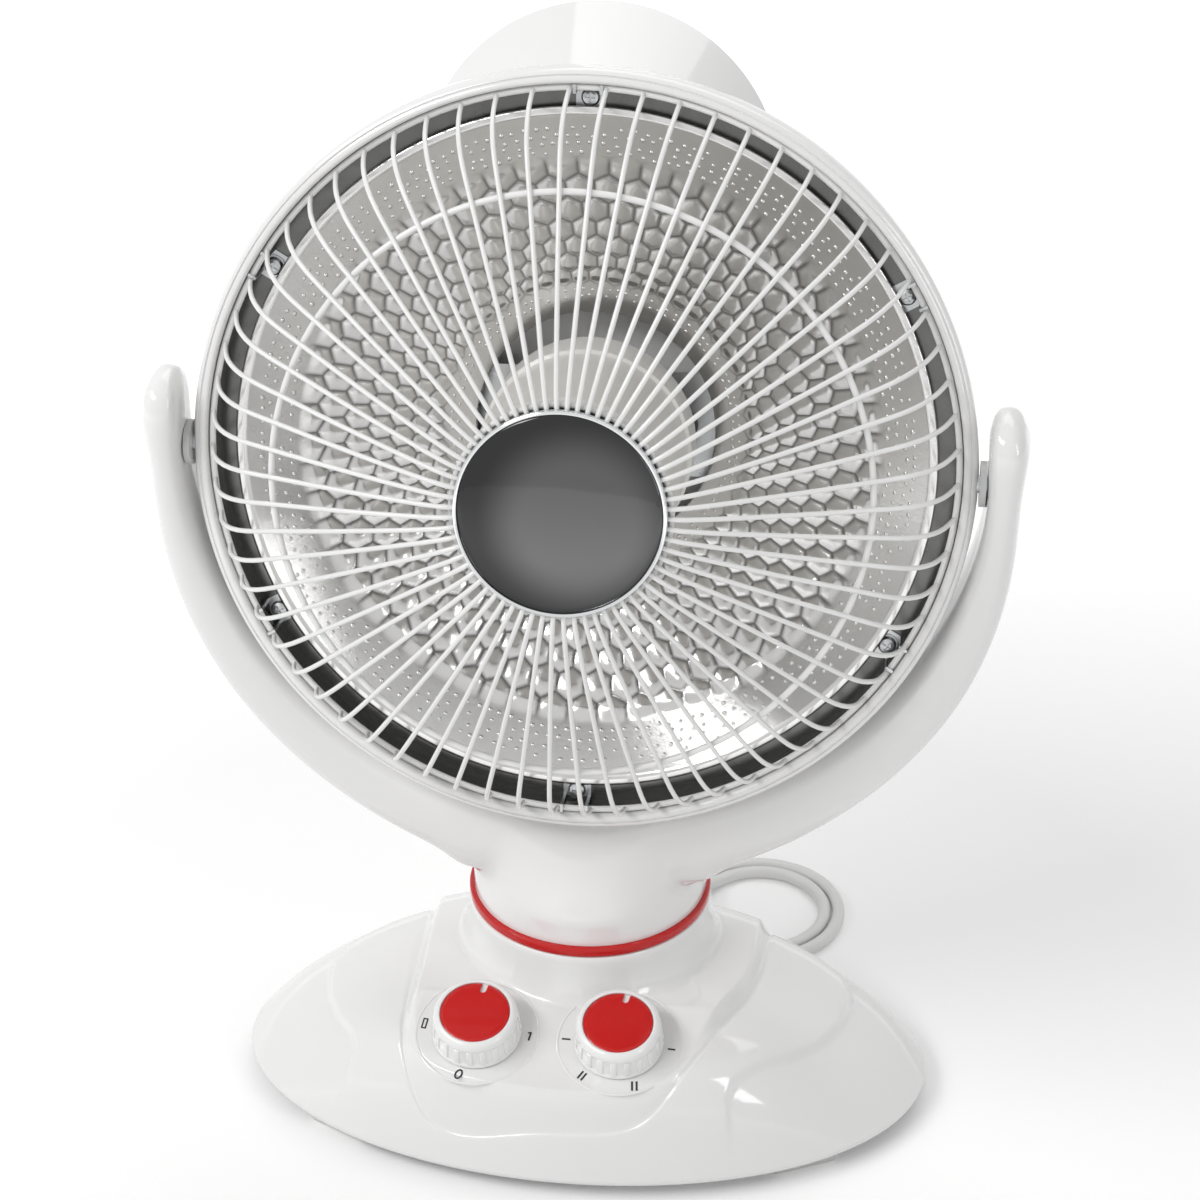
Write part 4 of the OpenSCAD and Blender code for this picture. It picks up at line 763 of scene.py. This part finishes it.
# The hood is shaped lying on its back: a ball over the terminals, cut flat
# behind, a round foot against the bowl, and a smaller ball over the socket,
# all drawn into one skin and then cut to the bowl.
ball_radius, ball_place, ball_flat = 72 * mm, (0, 102 * mm, -37.4 * mm), -45.4 * mm
foot_disc_radius, foot_disc_place = 57 * mm, (0, 94 * mm, -13.5 * mm)
tail_radius, tail_place = 46 * mm, (0, -4 * mm, -58 * mm)
bowl_rim, bowl_drop, bowl_flat, bowl_flare, hood_gap = -9, 63, 44, 109.5, 0.3
bpy.ops.object.select_all(action="DESELECT")
bpy.ops.mesh.primitive_uv_sphere_add(segments=128, ring_count=96, radius=ball_radius,
                                     location=ball_place)
hood = bpy.context.object
hood.name = hood.data.name = "hood_moulding"
bpy.ops.object.transform_apply(location=True, rotation=False, scale=False)
bpy.ops.object.mode_set(mode="EDIT")
bpy.ops.mesh.select_all(action="SELECT")
bpy.ops.mesh.bisect(plane_co=(0, 0, ball_flat), plane_no=(0, 0, 1), clear_outer=True,
                    use_fill=True)
bpy.ops.mesh.primitive_cylinder_add(vertices=128, radius=foot_disc_radius, depth=5 * mm,
                                    location=foot_disc_place)
bpy.ops.mesh.primitive_uv_sphere_add(segments=96, ring_count=64, radius=tail_radius,
                                     location=tail_place)
bpy.ops.mesh.select_all(action="SELECT")
bpy.ops.mesh.convex_hull()
bpy.ops.object.mode_set(mode="OBJECT")
bowl_points = [(0, bowl_rim)]
for k in range(25):
    t = math.radians(90 * k / 24)
    flare = bowl_flare * max(0, math.cos(t)) ** 0.9
    bowl_points.append((bowl_flat + flare + hood_gap * math.cos(t),
                        bowl_rim - bowl_drop * math.sin(t) - hood_gap * math.sin(t)))
bowl_points.append((0, bowl_rim - bowl_drop - hood_gap))
bowl_cutter = turned_piece("bowl_cutter", bowl_points, 160)
cut = hood.modifiers.new("bowl", "BOOLEAN")
cut.object = bowl_cutter
cut.solver = "EXACT"
bpy.ops.object.select_all(action="DESELECT")
hood.select_set(True)
bpy.context.view_layer.objects.active = hood
bpy.ops.object.modifier_apply(modifier=cut.name)
bpy.data.objects.remove(bowl_cutter)
bpy.ops.object.shade_smooth_by_angle(angle=math.radians(30))
hood.data.transform(head_seat)
dress(hood, white)
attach(hood, "head")
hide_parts("rear_cover")

# Reflector: a spun aluminium dish with a hole for the element. A press gives
# it honeycomb bosses that shrink towards the hole, and rows of small pips
# inside its edge and round the hole, to scatter the beam.
dish_edge, dish_hole, dish_back, dish_depth = 136.5, 49.0, 4.3, 44.0
cells_round, boss_height, boss_from, boss_to = 58, 1.4, 62, 117


def dish_level(radius):
    """Height of the plain dish at a radius, in mm, in front of the pivots' plane."""
    return -dish_back - dish_depth * (dish_edge ** 2 - radius ** 2) \
        / (dish_edge ** 2 - dish_hole ** 2)


def comb_distance(across, along):
    """From 0 in the middle of a honeycomb cell to 0.5 at its wall; the cells
    are one unit wide and slightly rounded."""
    nearest = 1.0
    for shift in (0.5, 1.0):
        x = abs((across + shift) % 1 - 0.5)
        y = abs((along / math.sqrt(3) + shift) % 1 - 0.5) * math.sqrt(3)
        wall = max(x, x / 2 + y * math.sqrt(3) / 2)
        nearest = min(nearest, 0.6 * wall + 0.4 * math.hypot(x, y))
    return nearest


def cell_row(radius):
    """How many cells lie between the hole and a radius; they widen outwards."""
    return math.log(radius / dish_hole) * cells_round / (2 * math.pi)


def boss(radius, turn):
    """How far the press pushes the sheet forward, in mm, at a turn from 0 to 1."""
    row = cell_row(radius)
    zone = eased((row - cell_row(boss_from)) * 2) * eased((cell_row(boss_to) - row) * 2)
    size = min(1.0, 0.45 + 0.55 * (radius - boss_from) / 40)
    d = comb_distance(turn * cells_round, row)
    return boss_height * zone * size * max(0.0, 1 - (d / 0.49) ** 2.4)


dish_columns = cells_round * 8 + 1
front_radii, back_radii = (
    [dish_hole * (dish_edge / dish_hole) ** (n / rounds) for n in range(rounds + 1)]
    for rounds in (108, 72))
dish_lip = ((137.2, -4.2), (138.4, -4.3), (139.5, -4.3), (139.5, -5.0), (137.5, -5.1))
sheet_thickness = 0.8


def dish_round(radius, height=None, behind=0.0):
    """One round of the dish, plain at a given height and else with its bosses."""
    points = []
    for c in range(dish_columns):
        angle = 2 * math.pi * c / (dish_columns - 1)
        level = height
        if height is None:
            level = dish_level(radius) - behind + boss(radius, c / (dish_columns - 1))
        points.append((radius * math.cos(angle), radius * math.sin(angle), level))
    return points


dish_rows = [dish_round(radius) for radius in front_radii]
dish_rows += [dish_round(radius, height) for radius, height in dish_lip]
dish_rows += [dish_round(radius, behind=sheet_thickness) for radius in reversed(back_radii)]
dish_rows.append(dish_rows[0])
dish = wrapped_sheet("reflector_dish", dish_columns, len(dish_rows), dish_rows)
pattern = dish.data.uv_layers.new(name="boss_grid")
for polygon in dish.data.polygons:
    middle = math.atan2(polygon.center.y, polygon.center.x) / (2 * math.pi)
    for corner in polygon.loop_indices:
        at = dish.data.vertices[dish.data.loops[corner].vertex_index].co
        turn = math.atan2(at.y, at.x) / (2 * math.pi)
        turn += round(middle - turn)
        pattern.data[corner].uv = (turn * cells_round, cell_row(math.hypot(at.x, at.y) / mm))
dish.data.transform(head_seat)

honeycomb = bpy.data.node_groups.new("honeycomb", "ShaderNodeTree")
for label in ("Across", "Along"):
    honeycomb.interface.new_socket(name=label, in_out="INPUT", socket_type="NodeSocketFloat")
honeycomb.interface.new_socket(name="Distance", in_out="OUTPUT", socket_type="NodeSocketFloat")
inside = honeycomb.nodes.new("NodeGroupInput").outputs
found = []
for shift in (0.5, 1.0):
    x = maths(honeycomb, "FRACT", maths(honeycomb, "ADD", inside["Across"], shift + 100))
    x = maths(honeycomb, "ABSOLUTE", maths(honeycomb, "SUBTRACT", x, 0.5))
    y = maths(honeycomb, "DIVIDE", inside["Along"], math.sqrt(3))
    y = maths(honeycomb, "FRACT", maths(honeycomb, "ADD", y, shift + 100))
    y = maths(honeycomb, "MULTIPLY", maths(honeycomb, "ABSOLUTE",
                                           maths(honeycomb, "SUBTRACT", y, 0.5)), math.sqrt(3))
    slant = maths(honeycomb, "ADD", maths(honeycomb, "MULTIPLY", x, 0.5),
                  maths(honeycomb, "MULTIPLY", y, math.sqrt(3) / 2))
    found.append(maths(honeycomb, "MAXIMUM", x, slant))
honeycomb.links.new(maths(honeycomb, "MINIMUM", *found),
                    honeycomb.nodes.new("NodeGroupOutput").inputs["Distance"])

# Painted shade: the metal's colour is darkened down in the seams between bosses,
# where shade falls, and left at its own tone on their crowns.
silver = finish("pressed_aluminium", (0.7, 0.695, 0.685), 0.17, tone=0.07, spread=0.1,
                scale=90.0, metal=1.0)
tree = silver.node_tree
grid = joined(tree, "ShaderNodeSeparateXYZ",
              Vector=joined(tree, "ShaderNodeUVMap").outputs[0]).outputs
tree.nodes["UV Map"].uv_map = "boss_grid"
comb = tree.nodes.new("ShaderNodeGroup")
comb.node_tree = honeycomb
tree.links.new(grid["X"], comb.inputs["Across"])
tree.links.new(grid["Y"], comb.inputs["Along"])
inner = joined(tree, "ShaderNodeMapRange", Value=grid["Y"], n1=cell_row(59), n2=cell_row(64))
outer = joined(tree, "ShaderNodeMapRange", Value=grid["Y"], n1=cell_row(119), n2=cell_row(115))
zone = maths(tree, "MULTIPLY", inner.outputs[0], outer.outputs[0])
seam = joined(tree, "ShaderNodeMapRange", Value=comb.outputs[0], n1=0.36, n2=0.5).outputs[0]
seam = maths(tree, "MULTIPLY", maths(tree, "POWER", seam, 1.5), zone)
# Painted shade: the base colour's value drops by up to 0.68 in the seams.
seam_painted_shade = joined(tree, "ShaderNodeHueSaturation",
                   Color=tree.nodes["grain"].outputs["Colour"],
                   Value=maths(tree, "MULTIPLY_ADD", seam, -0.68, 1.0))
tree.links.new(seam_painted_shade.outputs[0], tree.nodes["Principled BSDF"].inputs["Base Color"])
dress(dish, silver)
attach(dish, "head")
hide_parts("reflector")

# Pips: four loose rows of small bosses inside the dish's edge and two round
# its hole, each a low round button on the sheet.
scatter = random.Random(11)
pip_spots = []
for radius, count, jitter in ((130.2, 172, 0.55), (127.0, 168, 0.7), (123.4, 164, 0.8),
                              (120.0, 158, 0.7), (58.9, 104, 0.4), (56.2, 100, 0.35)):
    start = scatter.random()
    for k in range(count):
        if scatter.random() > 0.06:
            turn = 2 * math.pi * (k + start + scatter.uniform(-0.16, 0.16)) / count
            pip_spots.append((radius + scatter.uniform(-jitter, jitter), turn,
                              scatter.uniform(0.85, 1.15) * (0.9 if radius > 100 else 0.62)))
bpy.ops.object.select_all(action="DESELECT")
bpy.ops.mesh.primitive_uv_sphere_add(segments=10, ring_count=6, radius=1)
button = bpy.context.object
bpy.ops.object.mode_set(mode="EDIT")
bpy.ops.mesh.bisect(plane_co=(0, 0, -0.1), plane_no=(0, 0, -1), clear_outer=True,
                    use_fill=True)
bpy.ops.object.mode_set(mode="OBJECT")
bpy.ops.object.shade_smooth()
pips = []
for radius, turn, size in pip_spots:
    pip = button.copy()
    pip.data = button.data.copy()
    bpy.context.collection.objects.link(pip)
    slope = math.atan(2 * dish_depth * radius / (dish_edge ** 2 - dish_hole ** 2))
    low_button = Matrix.Diagonal((*(Vector((1, 1, 0.6)) * size * mm), 1))
    pip.data.transform(
        head_seat @ Matrix.Rotation(turn, 4, "Z")
        @ Matrix.Translation(Vector((radius, 0, dish_level(radius))) * mm)
        @ Matrix.Rotation(-slope, 4, "Y") @ low_button)
    pips.append(pip)
bpy.data.objects.remove(button)
pips = made_one(pips, "reflector_pips")
dress(pips, finish("pip_aluminium", (0.66, 0.655, 0.645), 0.14, tone=0.07, scale=90.0,
                   metal=1.0))
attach(pips, "head")

# Channel: the dark pressed ring round the reflector that carries the guard's
# screws; seen between the guard's outer ring and the dish.
channel_dark = finish("channel_paint", (0.2, 0.2, 0.195), 0.24, tone=0.25, spread=0.25,
                      metal=0.85)
dress_node(channel_dark, "mounting_ring")

# Guard: enamelled steel wires from the outer ring to the hub, bent over a
# shoulder near the rim, spot-welded to three ring wires underneath.
wire_count, wire_radius, ring_wire_radius = 66, 1.0, 1.3
ring_places = ((147.6, 1.5), (115.4, 38.9), (41.4, 63.65))
guard_stops = [(147.6, 1.5), (146.4, 6), (143.2, 17), (139, 25.5), (133, 32.4), (125, 37.2),
               (115.4, 41), (98, 48.2), (80, 55), (60, 62), (50, 65), (44, 66.2),
               (41, 66), (39.4, 65.75)]
bpy.ops.object.select_all(action="DESELECT")
bpy.ops.curve.primitive_bezier_curve_add()
wire = bpy.context.object
wire.data.splines.clear()
line = wire.data.splines.new("BEZIER")
line.bezier_points.add(len(guard_stops) - 1)
for point, (radius, height) in zip(line.bezier_points, guard_stops):
    point.co = Vector((radius, 0, height)) * mm
    point.handle_left_type = point.handle_right_type = "AUTO"
wire.data.dimensions = "3D"
wire.data.resolution_u = 2
wire.data.bevel_depth = wire_radius * mm
wire.data.bevel_resolution = 2
wire.data.use_fill_caps = True
bpy.ops.object.convert(target="MESH")
wire = bpy.context.object
fan = []
for k in range(wire_count):
    spoke = wire.copy()
    spoke.data = wire.data.copy()
    bpy.context.collection.objects.link(spoke)
    turn = 2 * math.pi * (k + 0.5) / wire_count + math.pi / 2
    spoke.data.transform(head_seat @ Matrix.Rotation(turn, 4, "Z"))
    fan.append(spoke)
bpy.data.objects.remove(wire)
wires = made_one(fan, "guard_wire_fan")
bpy.ops.object.shade_smooth()
wire_enamel = finish("wire_enamel", (0.86, 0.86, 0.85), 0.26, tone=0.04, depth=0.03, coat=0.2)
dress(wires, wire_enamel)
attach(wires, "head")
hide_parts("guard_wires")
ring_wires = []
for radius, height in ring_places:
    bpy.ops.object.select_all(action="DESELECT")
    bpy.ops.mesh.primitive_torus_add(major_segments=192, minor_segments=14,
                                     major_radius=radius * mm,
                                     minor_radius=ring_wire_radius * mm)
    ring = bpy.context.object
    ring.data.transform(head_seat @ Matrix.Translation((0, 0, height * mm)))
    ring_wires.append(ring)
rings = made_one(ring_wires, "guard_ring_wires")
bpy.ops.object.shade_smooth()
dress(rings, wire_enamel)
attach(rings, "head")
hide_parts("guard_rings")

# Badge: a smoked, mirror-like disc in a thin chrome rim over the guard's
# hub, screwed to a steel plate behind the wires. It carries no mark.
badge_level = 66.8
disc = turned_piece("badge_disc", [
    (0, badge_level + 3.5), (10, badge_level + 3.42), (20, badge_level + 3.15),
    (30, badge_level + 2.6), (36.4, badge_level + 2.05), (38, badge_level + 1.8),
    (38.5, badge_level + 1.4), (38.5, badge_level + 0.1), (0, badge_level + 0.1)],
    160, head_seat)
smoked = finish("smoked_mirror", (0.105, 0.105, 0.107), 0.05, tone=0.04, spread=0.02,
                depth=0.0015, metal=0.9, coat=0.5)
# Painted reflection: the disc's colour is lightest in a patch a little off its middle
# and darkens towards its edge, standing in for the bright reflection it shows.
tree = smoked.node_tree
reach = joined(tree, "ShaderNodeVectorMath",
               n0=tree.nodes.new("ShaderNodeTexCoord").outputs["Object"])
reach.operation = "DISTANCE"
reach.inputs[1].default_value = head_seat @ Vector((0.007, -0.002, badge_level * mm))
fade = joined(tree, "ShaderNodeMapRange", Value=reach.outputs["Value"], n1=0.02, n2=0.04,
              n3=1.0, n4=0.2)
fade.interpolation_type = "SMOOTHSTEP"
# Painted reflection: the base colour's value runs from 1 near that point to 0.2 towards the
# edge.
painted_reflection_tint = joined(tree, "ShaderNodeHueSaturation", Color=tree.nodes["grain"].outputs["Colour"],
               Value=fade.outputs[0])
tree.links.new(painted_reflection_tint.outputs[0], tree.nodes["Principled BSDF"].inputs["Base Color"])
dress(disc, smoked)
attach(disc, "head")
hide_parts("badge")
rim = turned_piece("badge_rim_band", [
    (38.6, badge_level), (40.1, badge_level), (40.4, badge_level + 0.4),
    (40.4, badge_level + 1.3), (40.1, badge_level + 2), (39.5, badge_level + 2.3),
    (38.9, badge_level + 2.1), (38.6, badge_level + 1.6), (38.6, badge_level)],
    160, head_seat)
dress(rim, finish("rim_chrome", (0.7, 0.71, 0.72), 0.08, metal=1.0, depth=0.003))
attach(rim, "head")
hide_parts("badge_rim")

# Element: a glazed ceramic drum round a ribbed core with its coil of
# resistance wire, on a ceramic socket.
glaze = finish("ceramic_glaze", (0.8, 0.785, 0.75), 0.3, tone=0.06, scale=80.0, depth=0.05,
               coat=0.2)
dress_node(glaze, "ceramic_drum", "element_core", "socket")
dress_node(finish("oxidised_wire", (0.3, 0.25, 0.21), 0.5, tone=0.2, metal=1.0),
           "heating_coil")
